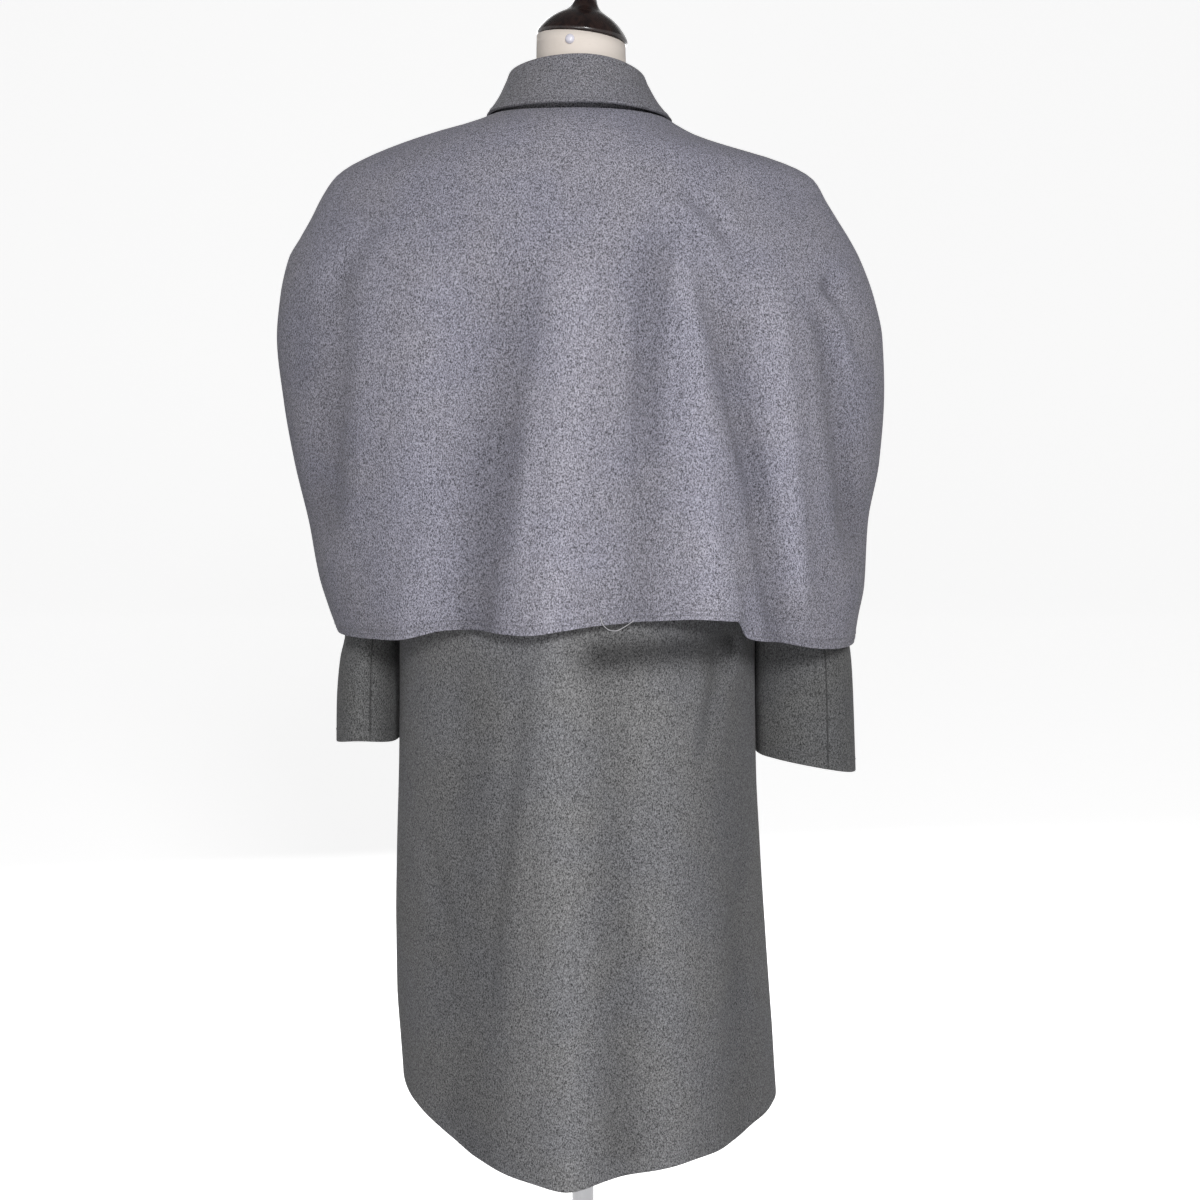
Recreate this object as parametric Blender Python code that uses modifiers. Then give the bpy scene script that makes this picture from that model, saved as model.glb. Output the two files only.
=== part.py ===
# Wool cape coat on a dress form. Metres, +Z up, the coat's front towards -Y and the wearer's left towards +X.
import math
from collections import namedtuple

import bmesh
import bpy
import numpy as np
from mathutils import Matrix, Vector

# Cloth
CLOTH = 0.0025  # thickness of the wool
SEAM = 0.0003  # space left at a seam
LAYER = 0.0004  # space between two layers that rest on each other

# Heights on the coat
FRONT_HEM = 0.426  # coat hem at the middle of the front
FRONT_SLANT = 0.064  # how much higher the front hem is per metre towards the wearer's left
ARMPIT = 1.240
SHOULDER_TIP = 1.4555
COAT_NECK = 1.494
CAPE_NECK = 1.4945
CAPE_HEM = 0.940
CAPE_FRONT_HEM = 0.942
NECK_FROM = 1.300  # above this height the rows lean towards the neck line
COAT_HEM_REACH = 0.30  # height over which the coat's rows settle to its hem line
CAPE_HEM_REACH = 0.16

# Turns round the body: 0 is the left side, 90 the middle of the back, -90 the middle of the front
SIDE_SEAM_LOW = 20.0
SIDE_SEAM_HIGH = 8.0
ARMHOLE_BACK = 20.0
ARMHOLE_FRONT = 27.0
ARMHOLE_PARTS = 10

# Front closing
OVERLAP = 0.030  # how far each front passes the middle
CAPE_OPEN_HIGH = 0.050  # half the width of the cape's opening at the neck
CAPE_OPEN_LOW = 0.085  # and at the hem
UNDER_FROM = -0.046  # where the right front starts to step in under the left one
UNDER_TO = -0.034

# Buttons
BUTTON_RADIUS = 0.0115
BUTTON_THICK = 0.0038
BUTTON_HIGH = 1.385
BUTTON_STEP = 0.125
BUTTON_COUNT = 5
BUTTON_GAP = 0.0005
BUTTON_SIDES = 12

# Dress form
TORSO_BOTTOM = 0.830
NECK_FOOT = 1.500
NECK_TOP = 1.5744
NECK_RADIUS = 0.0474
TORSO_SIDES = 32
CAP_TILT = math.radians(6.0)
CAP_AT = (-0.0012, 0.0, 1.5782)
STUD_AT = (0.0108, 1.5662)
STUD_RADIUS = 0.0050
STUD_GAP = 0.0005
POLE_RADIUS = 0.0125
BASE_RADIUS = 0.190
BASE_THICK = 0.022

# Each row is a level section: the width to each side, the depth to the back and front,
# and how far it is pinched at the sides
Section = namedtuple("Section", "z left right back front pinch")
COAT = [
    Section(0.400, 0.2070, 0.2235, 0.214, 0.206, 0.00),
    Section(0.440, 0.2090, 0.2205, 0.213, 0.205, 0.00),
    Section(0.520, 0.2125, 0.2140, 0.210, 0.202, 0.00),
    Section(0.610, 0.2120, 0.2070, 0.205, 0.197, -0.02),
    Section(0.700, 0.2090, 0.2005, 0.199, 0.191, -0.04),
    Section(0.820, 0.2040, 0.1940, 0.190, 0.182, -0.06),
    Section(0.930, 0.2015, 0.1915, 0.181, 0.173, -0.07),
    Section(1.060, 0.1990, 0.1905, 0.172, 0.166, -0.07),
    Section(1.160, 0.1990, 0.1930, 0.168, 0.166, -0.05),
    Section(1.240, 0.2020, 0.1990, 0.164, 0.163, 0.00),
    Section(1.320, 0.2060, 0.2040, 0.156, 0.155, 0.06),
    Section(1.380, 0.2090, 0.2080, 0.147, 0.145, 0.14),
    Section(1.420, 0.2115, 0.2100, 0.136, 0.134, 0.22),
    Section(1.4555, 0.2130, 0.1930, 0.117, 0.121, 0.28),
    Section(1.464, 0.1930, 0.1620, 0.110, 0.115, 0.26),
    Section(1.475, 0.1560, 0.1260, 0.101, 0.108, 0.18),
    Section(1.4835, 0.1210, 0.1060, 0.093, 0.101, 0.10),
    Section(1.494, 0.0860, 0.0840, 0.083, 0.092, 0.00),
]
CAPE = [
    Section(0.940, 0.2690, 0.3020, 0.2020, 0.210, -0.05),
    Section(0.970, 0.2790, 0.3060, 0.2010, 0.209, -0.05),
    Section(1.001, 0.2880, 0.3110, 0.1990, 0.207, -0.05),
    Section(1.067, 0.2985, 0.3140, 0.1945, 0.203, -0.05),
    Section(1.133, 0.3120, 0.3250, 0.1900, 0.199, -0.04),
    Section(1.198, 0.3220, 0.3286, 0.1850, 0.194, -0.02),
    Section(1.263, 0.3280, 0.3250, 0.1800, 0.188, 0.00),
    Section(1.3055, 0.3240, 0.3150, 0.1760, 0.183, 0.04),
    Section(1.348, 0.3140, 0.2990, 0.1700, 0.176, 0.10),
    Section(1.369, 0.3015, 0.2880, 0.1660, 0.171, 0.15),
    Section(1.390, 0.2890, 0.2750, 0.1610, 0.166, 0.20),
    Section(1.411, 0.2780, 0.2620, 0.1550, 0.160, 0.26),
    Section(1.432, 0.2635, 0.2500, 0.1470, 0.153, 0.31),
    Section(1.441, 0.2525, 0.2390, 0.1430, 0.149, 0.33),
    Section(1.4545, 0.2260, 0.2080, 0.1360, 0.142, 0.33),
    Section(1.467, 0.1930, 0.1630, 0.1280, 0.134, 0.28),
    Section(1.478, 0.1560, 0.1270, 0.1190, 0.126, 0.20),
    Section(1.4865, 0.1210, 0.1090, 0.1100, 0.118, 0.10),
    Section(1.4945, 0.0980, 0.0955, 0.0990, 0.109, 0.00),
]
TORSO = [
    Section(0.830, 0.1250, 0.1250, 0.085, 0.085, 0.00),
    Section(0.845, 0.1500, 0.1500, 0.108, 0.105, 0.00),
    Section(0.880, 0.1680, 0.1640, 0.125, 0.120, 0.00),
    Section(0.960, 0.1700, 0.1660, 0.128, 0.118, 0.00),
    Section(1.070, 0.1480, 0.1450, 0.112, 0.104, 0.00),
    Section(1.160, 0.1560, 0.1540, 0.122, 0.116, 0.00),
    Section(1.260, 0.1740, 0.1720, 0.134, 0.132, 0.00),
    Section(1.340, 0.1860, 0.1840, 0.133, 0.131, 0.06),
    Section(1.400, 0.1940, 0.1920, 0.122, 0.120, 0.16),
    Section(1.4350, 0.2050, 0.1960, 0.106, 0.108, 0.26),
    Section(1.4524, 0.2050, 0.1900, 0.100, 0.104, 0.28),
    Section(1.4609, 0.1928, 0.1618, 0.094, 0.099, 0.26),
    Section(1.4719, 0.1558, 0.1258, 0.086, 0.092, 0.18),
    Section(1.4804, 0.1208, 0.1058, 0.078, 0.085, 0.10),
    Section(1.4895, 0.0850, 0.0820, 0.069, 0.076, 0.00),
    Section(1.4990, 0.0610, 0.0600, 0.060, 0.065, 0.00),
    Section(1.5150, 0.0510, 0.0510, 0.052, 0.055, 0.00),
    Section(1.5450, 0.0476, 0.0476, 0.048, 0.048, 0.00),
    Section(NECK_TOP, 0.0472, 0.0472, 0.0472, 0.0472, 0.00),
]

# The neck line of the coat and of the cape: how much lower than the left side each place is
NeckLine = namedtuple("NeckLine", "back right front")
COAT_NECK_DROP = NeckLine(0.004, 0.0055, 0.042)
CAPE_NECK_DROP = NeckLine(0.006, 0.0055, 0.042)

# The cape's hem across the back, from the wearer's right to left
Hem = namedtuple("Hem", "x z")
CAPE_HEM_LINE = [
    Hem(-0.310, 0.935),
    Hem(-0.261, 0.941),
    Hem(-0.200, 0.955),
    Hem(-0.169, 0.962),
    Hem(-0.155, 0.981),
    Hem(-0.118, 0.9845),
    Hem(-0.032, 0.9810),
    Hem(0.019, 0.9756),
    Hem(0.058, 0.9700),
    Hem(0.130, 0.9710),
    Hem(0.187, 0.9580),
    Hem(0.255, 0.9505),
    Hem(0.280, 0.9480),
]

# The coat's hem across the back: it dips at the middle
COAT_HEM_LINE = [
    Hem(-0.2240, 0.413),
    Hem(-0.2130, 0.419),
    Hem(-0.1930, 0.419),
    Hem(-0.1650, 0.4130),
    Hem(-0.1100, 0.4185),
    Hem(-0.0300, 0.4090),
    Hem(0.0200, 0.4025),
    Hem(0.0620, 0.4042),
    Hem(0.1100, 0.4108),
    Hem(0.1390, 0.4238),
    Hem(0.1615, 0.4340),
    Hem(0.1825, 0.4400),
    Hem(0.2070, 0.4405),
]

# Each fold runs from its upper to its lower end, and rises out of the cloth or sinks into it
Fold = namedtuple("Fold", "x_high z_high x_low z_low width rise")
CAPE_BACK_FOLDS = [
    Fold(-0.001, 1.360, 0.027, 0.930, 0.030, 0.012),
    Fold(0.063, 1.350, 0.110, 0.930, 0.021, -0.013),
    Fold(0.146, 1.380, 0.176, 0.930, 0.032, 0.006),
    Fold(0.235, 1.370, 0.265, 1.100, 0.021, -0.010),
    Fold(-0.068, 1.400, -0.060, 0.960, 0.017, -0.008),
    Fold(-0.103, 1.370, -0.135, 0.930, 0.020, 0.011),
    Fold(-0.138, 1.330, -0.203, 0.970, 0.016, -0.013),
    Fold(-0.188, 1.350, -0.218, 1.020, 0.019, 0.010),
    Fold(-0.240, 1.330, -0.282, 1.080, 0.016, -0.011),
]
CAPE_FRONT_FOLDS = [
    Fold(0.110, 1.340, 0.125, 0.930, 0.022, 0.006),
    Fold(0.165, 1.320, 0.190, 0.930, 0.020, -0.006),
    Fold(0.215, 1.340, 0.250, 1.000, 0.022, 0.005),
    Fold(-0.105, 1.350, -0.130, 0.930, 0.020, 0.006),
    Fold(-0.160, 1.330, -0.195, 0.930, 0.020, -0.006),
    Fold(-0.210, 1.320, -0.255, 0.990, 0.022, 0.005),
]
SKIRT_BACK_FOLDS = [
    Fold(0.024, 1.020, 0.010, 0.390, 0.028, 0.010),
    Fold(-0.028, 0.960, -0.045, 0.440, 0.017, -0.008),
    Fold(-0.086, 1.000, -0.094, 0.390, 0.031, 0.007),
    Fold(0.058, 0.990, 0.096, 0.600, 0.014, -0.003),
    Fold(0.106, 0.980, 0.120, 0.390, 0.042, -0.012),
    Fold(0.178, 0.800, 0.128, 0.620, 0.012, 0.002),
    Fold(-0.163, 0.960, -0.175, 0.390, 0.024, -0.008),
]
SKIRT_FRONT_FOLDS = [
    Fold(0.085, 0.980, 0.100, 0.390, 0.026, 0.006),
    Fold(0.140, 0.900, 0.155, 0.390, 0.022, -0.005),
    Fold(-0.095, 0.960, -0.120, 0.390, 0.026, 0.005),
    Fold(-0.150, 0.920, -0.165, 0.390, 0.020, -0.004),
]
FOLD_FADE = 0.070  # length over which a fold fades in and out
FOLD_AT_TOP = 0.55  # share of its depth that a fold has at its upper end

# Each row is a level section of a hanging sleeve: its near and far side from the middle,
# its centre in depth and half its depth
Arm = namedtuple("Arm", "z near far centre half")
ARM_LEFT = [
    Arm(0.822, 0.2055, 0.2755, -0.006, 0.067),
    Arm(0.870, 0.2045, 0.2735, -0.005, 0.066),
    Arm(0.915, 0.2038, 0.2685, -0.004, 0.066),
    Arm(0.945, 0.2035, 0.2622, -0.004, 0.066),
    Arm(1.060, 0.2040, 0.2740, -0.004, 0.072),
    Arm(1.190, 0.2090, 0.2830, -0.004, 0.077),
]
ARM_RIGHT = [
    Arm(0.785, 0.1972, 0.3090, -0.010, 0.057),
    Arm(0.870, 0.1948, 0.3040, -0.009, 0.060),
    Arm(0.915, 0.1938, 0.3000, -0.008, 0.062),
    Arm(0.945, 0.1936, 0.2955, -0.008, 0.064),
    Arm(1.060, 0.1960, 0.2880, -0.006, 0.070),
    Arm(1.190, 0.2060, 0.2840, -0.004, 0.076),
]
SleeveCut = namedtuple("SleeveCut", "arm side back_seam front_seam cuff_rise")
SLEEVES = {
    "left": SleeveCut(ARM_LEFT, 1, 108, 252, 0.000),
    "right": SleeveCut(ARM_RIGHT, -1, 72, 252, 0.021),
}
HEAD_ROWS = 6  # rows of cloth over the sleeve head
ARM_ROWS = 7  # rows of cloth down the arm
HEAD_GAP = 0.0007  # space between the sleeve and the armhole
HEAD_FALL = 0.016  # how much the sleeve head falls from the armhole before it turns down
CUFF_BACK_RISE = 0.010  # how much higher the back of a cuff is cut than its sides
SLEEVE_STEP = 18  # degrees between the sleeve's columns

# Collar, as rings from the seam with the coat to the free edge of the leaf
Ring = namedtuple("Ring", "at width_left width_right back front z_back z_left z_right z_front")
STAND_RINGS = [
    Ring(0.0, 0.0875, 0.0845, 0.0845, 0.0935, 1.4910, 1.4955, 1.4898, 1.4540),
    Ring(0.5, 0.0790, 0.0720, 0.0780, 0.0860, 1.5160, 1.5160, 1.5110, 1.4730),
    Ring(1.0, 0.0715, 0.0630, 0.0705, 0.0800, 1.5385, 1.5330, 1.5290, 1.4900),
]
LEAF_RINGS = [
    Ring(0.00, 0.0713, 0.0628, 0.0703, 0.0798, 1.5391, 1.5336, 1.5296, 1.4906),
    Ring(0.12, 0.0718, 0.0633, 0.0708, 0.0806, 1.5440, 1.5385, 1.5345, 1.4955),
    Ring(0.24, 0.0752, 0.0667, 0.0745, 0.0850, 1.5458, 1.5400, 1.5360, 1.4965),
    Ring(0.40, 0.0795, 0.0712, 0.0800, 0.0925, 1.5380, 1.5310, 1.5270, 1.4850),
    Ring(0.70, 0.0885, 0.0825, 0.0930, 0.1120, 1.5150, 1.5130, 1.5075, 1.4650),
    Ring(1.00, 0.1000, 0.0965, 0.1060, 0.1310, 1.4935, 1.4968, 1.4912, 1.4410),
]
STAND_ENDS = 26.0  # turn from the middle of the front to each end of the stand
LEAF_ENDS = 20.0


# Reads a table at any place, along smooth lines through its rows.
class Table:
    def __init__(self, rows):
        self.places = np.array([row[0] for row in rows])
        self.values = np.array([row[1:] for row in rows])
        steps = np.diff(self.places)[:, None]
        rates = np.diff(self.values, axis=0) / steps
        joined = rates[:-1] * rates[1:]
        even = 2 * joined / np.where(joined > 0, rates[:-1] + rates[1:], 1)
        inner = np.where(joined > 0, even, 0)
        self.slopes = np.vstack([rates[:1], inner, rates[-1:]])

    def read(self, place):
        place = min(max(place, self.places[0]), self.places[-1])
        i = int(np.clip(np.searchsorted(self.places, place) - 1, 0, len(self.places) - 2))
        step = self.places[i + 1] - self.places[i]
        t = (place - self.places[i]) / step
        low, high = self.values[i], self.values[i + 1]
        start = low + (high - low) * t * t * (3 - 2 * t)
        bend = self.slopes[i] * t * (1 - t) ** 2 - self.slopes[i + 1] * t * t * (1 - t)
        return start + bend * step


coat_table = Table(COAT)
cape_table = Table(CAPE)
torso_table = Table(TORSO)
cape_hem_table = Table(CAPE_HEM_LINE)
coat_hem_table = Table(COAT_HEM_LINE)


def ease(t):
    t = min(max(t, 0.0), 1.0)
    return t * t * (3 - 2 * t)


# A point of a level section, at a turn in radians.
def section_point(row, turn, z):
    left, right, back, front, pinch = row
    c, s = math.cos(turn), math.sin(turn)
    across = left if c > 0 else right
    deep = back if s > 0 else front
    return np.array([across * c, deep * s * (1 - pinch * c * c), z])


# How far a neck line lies below its left side, at a turn.
def neck_drop(drop, turn):
    c, s = math.cos(turn), math.sin(turn)
    side = 0.0 if c > 0 else drop.right * c * c
    return side + (drop.back if s > 0 else drop.front) * s * s


def leaned(level, top, drop, turn):
    if level <= NECK_FROM:
        return level
    share = (level - NECK_FROM) / (top - NECK_FROM)
    return level - neck_drop(drop, turn) * share


# How far the folds of a table move the cloth out at a place.
def folded(folds, x, z):
    out = 0.0
    for fold in folds:
        if not fold.z_low - FOLD_FADE < z < fold.z_high + FOLD_FADE:
            continue
        along = (fold.z_high - z) / (fold.z_high - fold.z_low)
        middle = fold.x_high + (fold.x_low - fold.x_high) * along
        from_top = ease((fold.z_high - z) / FOLD_FADE)
        from_bottom = ease((z - fold.z_low) / FOLD_FADE + 1)
        growth = FOLD_AT_TOP + (1 - FOLD_AT_TOP) * min(max(along, 0.0), 1.0)
        strength = from_top * from_bottom * growth
        out += fold.rise * strength * math.exp(-(((x - middle) / fold.width) ** 2))
    return out


# Moves a point out of its section by the folds of the side that it is on.
def with_folds(point, turn, back_folds, front_folds):
    s = math.sin(turn)
    out = folded(back_folds, point[0], point[2]) * ease(s / 0.35)
    out += folded(front_folds, point[0], point[2]) * ease(-s / 0.35)
    return point + out * np.array([math.cos(turn), s, 0.0])


def coat_point(turn, level):
    z = leaned(level, COAT_NECK, COAT_NECK_DROP, turn)
    point = section_point(coat_table.read(level), turn, z)
    point = with_folds(point, turn, SKIRT_BACK_FOLDS, SKIRT_FRONT_FOLDS)
    back = ease((math.sin(turn) + 0.3) / 0.5)
    front_hem = FRONT_HEM + FRONT_SLANT * point[0]
    hem = coat_hem_table.read(point[0])[0] * back + front_hem * (1 - back)
    low = 1 - ease((level - COAT[0].z) / COAT_HEM_REACH)
    return point + np.array([0.0, 0.0, (hem - COAT[0].z) * low])


# The direction that the coat's surface faces.
def coat_out(turn, level):
    low, high = min(level, COAT_NECK - 2e-4), min(level + 2e-4, COAT_NECK)
    across = coat_point(turn + 1e-3, level) - coat_point(turn - 1e-3, level)
    out = np.cross(across, coat_point(turn, high) - coat_point(turn, low))
    return out / np.linalg.norm(out)


def cape_point(turn, level):
    z = leaned(level, CAPE_NECK, CAPE_NECK_DROP, turn)
    point = section_point(cape_table.read(level), turn, z)
    point = with_folds(point, turn, CAPE_BACK_FOLDS, CAPE_FRONT_FOLDS)
    back = ease((math.sin(turn) + 0.1) / 0.3)
    hem = cape_hem_table.read(point[0])[0] * back + CAPE_FRONT_HEM * (1 - back)
    low = 1 - ease((level - CAPE_HEM) / CAPE_HEM_REACH)
    return point + np.array([0.0, 0.0, (hem - CAPE_HEM) * low])


def torso_point(turn, level):
    z = level
    if level <= COAT_NECK - LAYER:
        z = leaned(level, COAT_NECK, COAT_NECK_DROP, turn)
    point = section_point(torso_table.read(level), turn, z)
    slant = ease((level - NECK_FOOT) / (NECK_TOP - NECK_FOOT)) * math.tan(CAP_TILT)
    return point + np.array([0.0, 0.0, slant * point[0]])


# The turns of a coat panel's back and front edges: the side seam becomes the armhole,
# then the shoulder.
def panel_edges(level):
    if level <= ARMPIT:
        share = (level - COAT[0].z) / (ARMPIT - COAT[0].z)
        turn = SIDE_SEAM_LOW + (SIDE_SEAM_HIGH - SIDE_SEAM_LOW) * share
        return math.radians(turn), math.radians(turn)
    if level >= SHOULDER_TIP:
        return 0.0, 0.0
    t = (level - ARMPIT) / (SHOULDER_TIP - ARMPIT)
    bow = math.sqrt(math.sin(math.pi * t))
    side = SIDE_SEAM_HIGH * (1 - t)
    return math.radians(side + ARMHOLE_BACK * bow), math.radians(side - ARMHOLE_FRONT * bow)


# A closed wall of cloth between a surface and the same surface moved in, from a grid of its places.
def wall(name, surface, us, vs, material, side=1, trim="", thickness=CLOTH):
    outer, inner = [], []
    small_u, small_v = 1e-3 * (us[-1] - us[0]), 1e-3 * (vs[-1] - vs[0])
    low_u, high_u = min(us[0], us[-1]), max(us[0], us[-1])
    low_v, high_v = min(vs[0], vs[-1]), max(vs[0], vs[-1])
    for row, v in enumerate(vs):
        for column, u in enumerate(us):
            near_u = [min(max(u + k * small_u, low_u), high_u) for k in (-1, 1)]
            near_v = [min(max(v + k * small_v, low_v), high_v) for k in (-1, 1)]
            along_u = surface(near_u[1], v) - surface(near_u[0], v)
            along_v = surface(u, near_v[1]) - surface(u, near_v[0])
            normal = np.cross(along_u, along_v)
            normal *= side / np.linalg.norm(normal)
            point = surface(u, v)
            along_v /= np.linalg.norm(along_v)
            inward = along_u - along_v * np.dot(along_u, along_v)
            inward *= SEAM / 2 / np.linalg.norm(inward)
            if column == 0 and "a" in trim:
                point = point + inward
            if column == len(us) - 1 and "b" in trim:
                point = point - inward
            outer.append(point)
            inner.append(point - normal * thickness)
    columns, rows = len(us), len(vs)
    mesh = bmesh.new()
    sides = [[mesh.verts.new(Vector(p)) for p in points] for points in (outer, inner)]
    for grid in sides:
        for i in range(rows - 1):
            for j in range(columns - 1):
                at = i * columns + j
                mesh.faces.new([grid[k] for k in (at, at + 1, at + columns + 1, at + columns)])
    rim = [j for j in range(columns)]
    rim += [i * columns + columns - 1 for i in range(1, rows)]
    rim += [(rows - 1) * columns + j for j in range(columns - 2, -1, -1)]
    rim += [i * columns for i in range(rows - 2, 0, -1)]
    for k, start in enumerate(rim):
        end = rim[(k + 1) % len(rim)]
        mesh.faces.new([sides[0][start], sides[0][end], sides[1][end], sides[1][start]])
    return finished(name, mesh, material)


# A solid through level rings, closed at both ends.
def loft(name, surface, turns, levels, material):
    mesh = bmesh.new()
    rings = []
    for level in levels:
        rings.append([mesh.verts.new(Vector(surface(turn, level))) for turn in turns])
    for low, high in zip(rings, rings[1:]):
        for j in range(len(turns)):
            k = (j + 1) % len(turns)
            mesh.faces.new([low[j], low[k], high[k], high[j]])
    mesh.faces.new(rings[0])
    mesh.faces.new(rings[-1])
    return finished(name, mesh, material)


def finished(name, mesh, material):
    bmesh.ops.recalc_face_normals(mesh, faces=mesh.faces[:])
    data = bpy.data.meshes.new(name)
    mesh.to_mesh(data)
    mesh.free()
    data.materials.append(material)
    thing = bpy.data.objects.new(name, data)
    garment.objects.link(thing)
    return thing


# A turned solid from its outer profile, top to bottom.
def turned(name, profile, material, steps=32):
    data = bpy.data.meshes.new(name)
    points = [(radius, 0.0, z) for radius, z in profile]
    edges = [(i, i + 1) for i in range(len(points) - 1)]
    data.from_pydata(points, edges, [])
    data.materials.append(material)
    thing = bpy.data.objects.new(name, data)
    garment.objects.link(thing)
    screw = thing.modifiers.new("Turn", "SCREW")
    screw.steps = steps
    screw.render_steps = steps
    screw.use_merge_vertices = True
    screw.merge_threshold = 0.0001
    return thing


def material_of(name, colour, roughness, metallic=0.0):
    material = bpy.data.materials.new(name)
    material.use_nodes = True
    shader = material.node_tree.nodes["Principled BSDF"]
    shader.inputs["Base Color"].default_value = (*colour, 1.0)
    shader.inputs["Roughness"].default_value = roughness
    shader.inputs["Metallic"].default_value = metallic
    return material


def even(start, end, parts):
    return [start + (end - start) * i / parts for i in range(parts + 1)]


for old in list(bpy.data.objects):
    bpy.data.objects.remove(old)
garment = bpy.data.collections.new("wool_cape_coat")
bpy.context.scene.collection.children.link(garment)

WOOL_CAPE = (0.235, 0.230, 0.262)
WOOL_COAT = (0.150, 0.150, 0.155)

# Rows of the coat: the armhole rows are those of the sleeve's first ring
hole_turns = even(0.0, math.pi, ARMHOLE_PARTS)
hole_levels = [ARMPIT + (SHOULDER_TIP - ARMPIT) * (1 - math.cos(a)) / 2 for a in hole_turns]
coat_levels = [0.40, 0.46, 0.53, 0.61, 0.69, 0.77, 0.85, 0.93, 1.01, 1.09, 1.17]
coat_levels += hole_levels + [1.464, 1.4745, 1.4835, COAT_NECK]


# The back of the coat, from the left edge to the right.
def coat_back_surface(u, level):
    edge = panel_edges(level)[0]
    return coat_point(edge + (math.pi - 2 * edge) * u, level)


def x_turn(x, level):
    row = coat_table.read(level)
    across = row[0] if x > 0 else row[1]
    return -math.pi / 2 + math.asin(x / across)


# The left front, from the middle's overlap to the side.
def coat_front_left_surface(u, level):
    end = panel_edges(level)[1]
    turns = (x_turn(-OVERLAP, level), x_turn(0.0, level), x_turn(OVERLAP, level), end)
    return coat_point(float(np.interp(u, (0, 1, 2, 3), turns)), level)


# The right front passes under the left one, so it steps in beside the left front's edge.
def coat_front_right_surface(u, level):
    start = -math.pi - panel_edges(level)[1]
    lines = [x_turn(x, level) for x in (UNDER_FROM, UNDER_TO, 0.0, OVERLAP)]
    turn = float(np.interp(u, (0, 1, 2, 3, 4), [start] + lines))
    depth = (CLOTH + LAYER) * ease(u - 1)
    return coat_point(turn, level) - depth * coat_out(turn, level)


coat_wool = material_of("coat_back_wool", WOOL_COAT, 0.95)
wall("coat_back", coat_back_surface, even(0, 1, 22), coat_levels, coat_wool, trim="ab")
left_places = [0, 1, 2] + even(2, 3, 10)[1:]
coat_wool = material_of("coat_front_left_wool", WOOL_COAT, 0.95)
wall("coat_front_left", coat_front_left_surface, left_places, coat_levels, coat_wool, trim="b")
right_places = even(0, 1, 10) + [2, 3, 4]
coat_wool = material_of("coat_front_right_wool", WOOL_COAT, 0.95)
wall("coat_front_right", coat_front_right_surface, right_places, coat_levels, coat_wool, trim="a")


# A point of a sleeve: turn 0 is over the arm, 90 behind it and 180 beside the body;
# place 0 is the armhole and 1 the cuff.
def sleeve_point(cut, turn, place):
    arms = Table(cut.arm)
    c, s = math.cos(turn), math.sin(turn)
    level = ARMPIT + (SHOULDER_TIP - ARMPIT) * (1 + c) / 2
    edge = panel_edges(min(max(level, ARMPIT + 1e-6), SHOULDER_TIP - 1e-6))[0 if s > 0 else 1]
    hole = coat_point(edge if cut.side > 0 else math.pi - edge, level)
    hole[0] += cut.side * HEAD_GAP
    top, cuff = cut.arm[-1].z, cut.arm[0].z
    share = HEAD_ROWS / (HEAD_ROWS + ARM_ROWS)
    z = top if place <= share else top + (cuff - top) * (place - share) / (1 - share)
    near, far, centre, half = arms.read(z)
    across = (near + far) / 2 + (far - near) / 2 * c
    lift = cut.cuff_rise * ((1 - c) / 2) ** 2 + CUFF_BACK_RISE * max(s, 0.0) ** 2
    lift *= ease((top - z) / (top - cuff))
    ring = np.array([cut.side * across, centre + half * s, z + lift])
    if place > share:
        return ring
    t = place / share
    bend = np.array([ring[0], ring[1], hole[2] - HEAD_FALL])
    bend[2] = max(bend[2], top + 0.01)
    return hole * (1 - t) ** 2 + bend * 2 * t * (1 - t) + ring * t * t


for hand, cut in SLEEVES.items():
    rows = even(0, 1, HEAD_ROWS + ARM_ROWS)
    spans = {"top": (cut.front_seam - 360, cut.back_seam), "under": (cut.back_seam, cut.front_seam)}
    for piece, (start, end) in spans.items():
        turns = even(math.radians(start), math.radians(end), round((end - start) / SLEEVE_STEP))
        wool = material_of(f"sleeve_{piece}_{hand}_wool", WOOL_COAT, 0.95)
        wall(
            f"sleeve_{piece}_{hand}",
            lambda turn, place, cut=cut: sleeve_point(cut, turn, place),
            turns,
            rows,
            wool,
            side=-cut.side,
            trim="ab",
        )

# Rows of the cape, from the hem to the neck
cape_levels = [0.94, 0.955, 0.98, 1.02, 1.07, 1.13, 1.19, 1.25, 1.305, 1.348, 1.38, 1.408, 1.432]
cape_levels += [1.4465, 1.4575, 1.467, 1.478, 1.4865, CAPE_NECK]


# The cape's side seam lies on the shoulder and a little to the front of the arm.
def cape_seam(level):
    return math.radians(-6.0) * (1 - ease((level - 1.30) / 0.13))


def cape_back_surface(u, level):
    edge = cape_seam(level)
    return cape_point(edge + (math.pi - 2 * edge) * u, level)


def cape_open(level, across):
    share = (CAPE_NECK - level) / (CAPE_NECK - CAPE_HEM)
    half = CAPE_OPEN_HIGH + (CAPE_OPEN_LOW - CAPE_OPEN_HIGH) * ease(share)
    return math.asin(half / across)


def cape_front_left_surface(u, level):
    start = -math.pi / 2 + cape_open(level, cape_table.read(level)[0])
    return cape_point(start + (cape_seam(level) - start) * u, level)


def cape_front_right_surface(u, level):
    start = math.pi - cape_seam(level)
    end = 1.5 * math.pi - cape_open(level, cape_table.read(level)[1])
    return cape_point(start + (end - start) * u, level)


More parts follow.
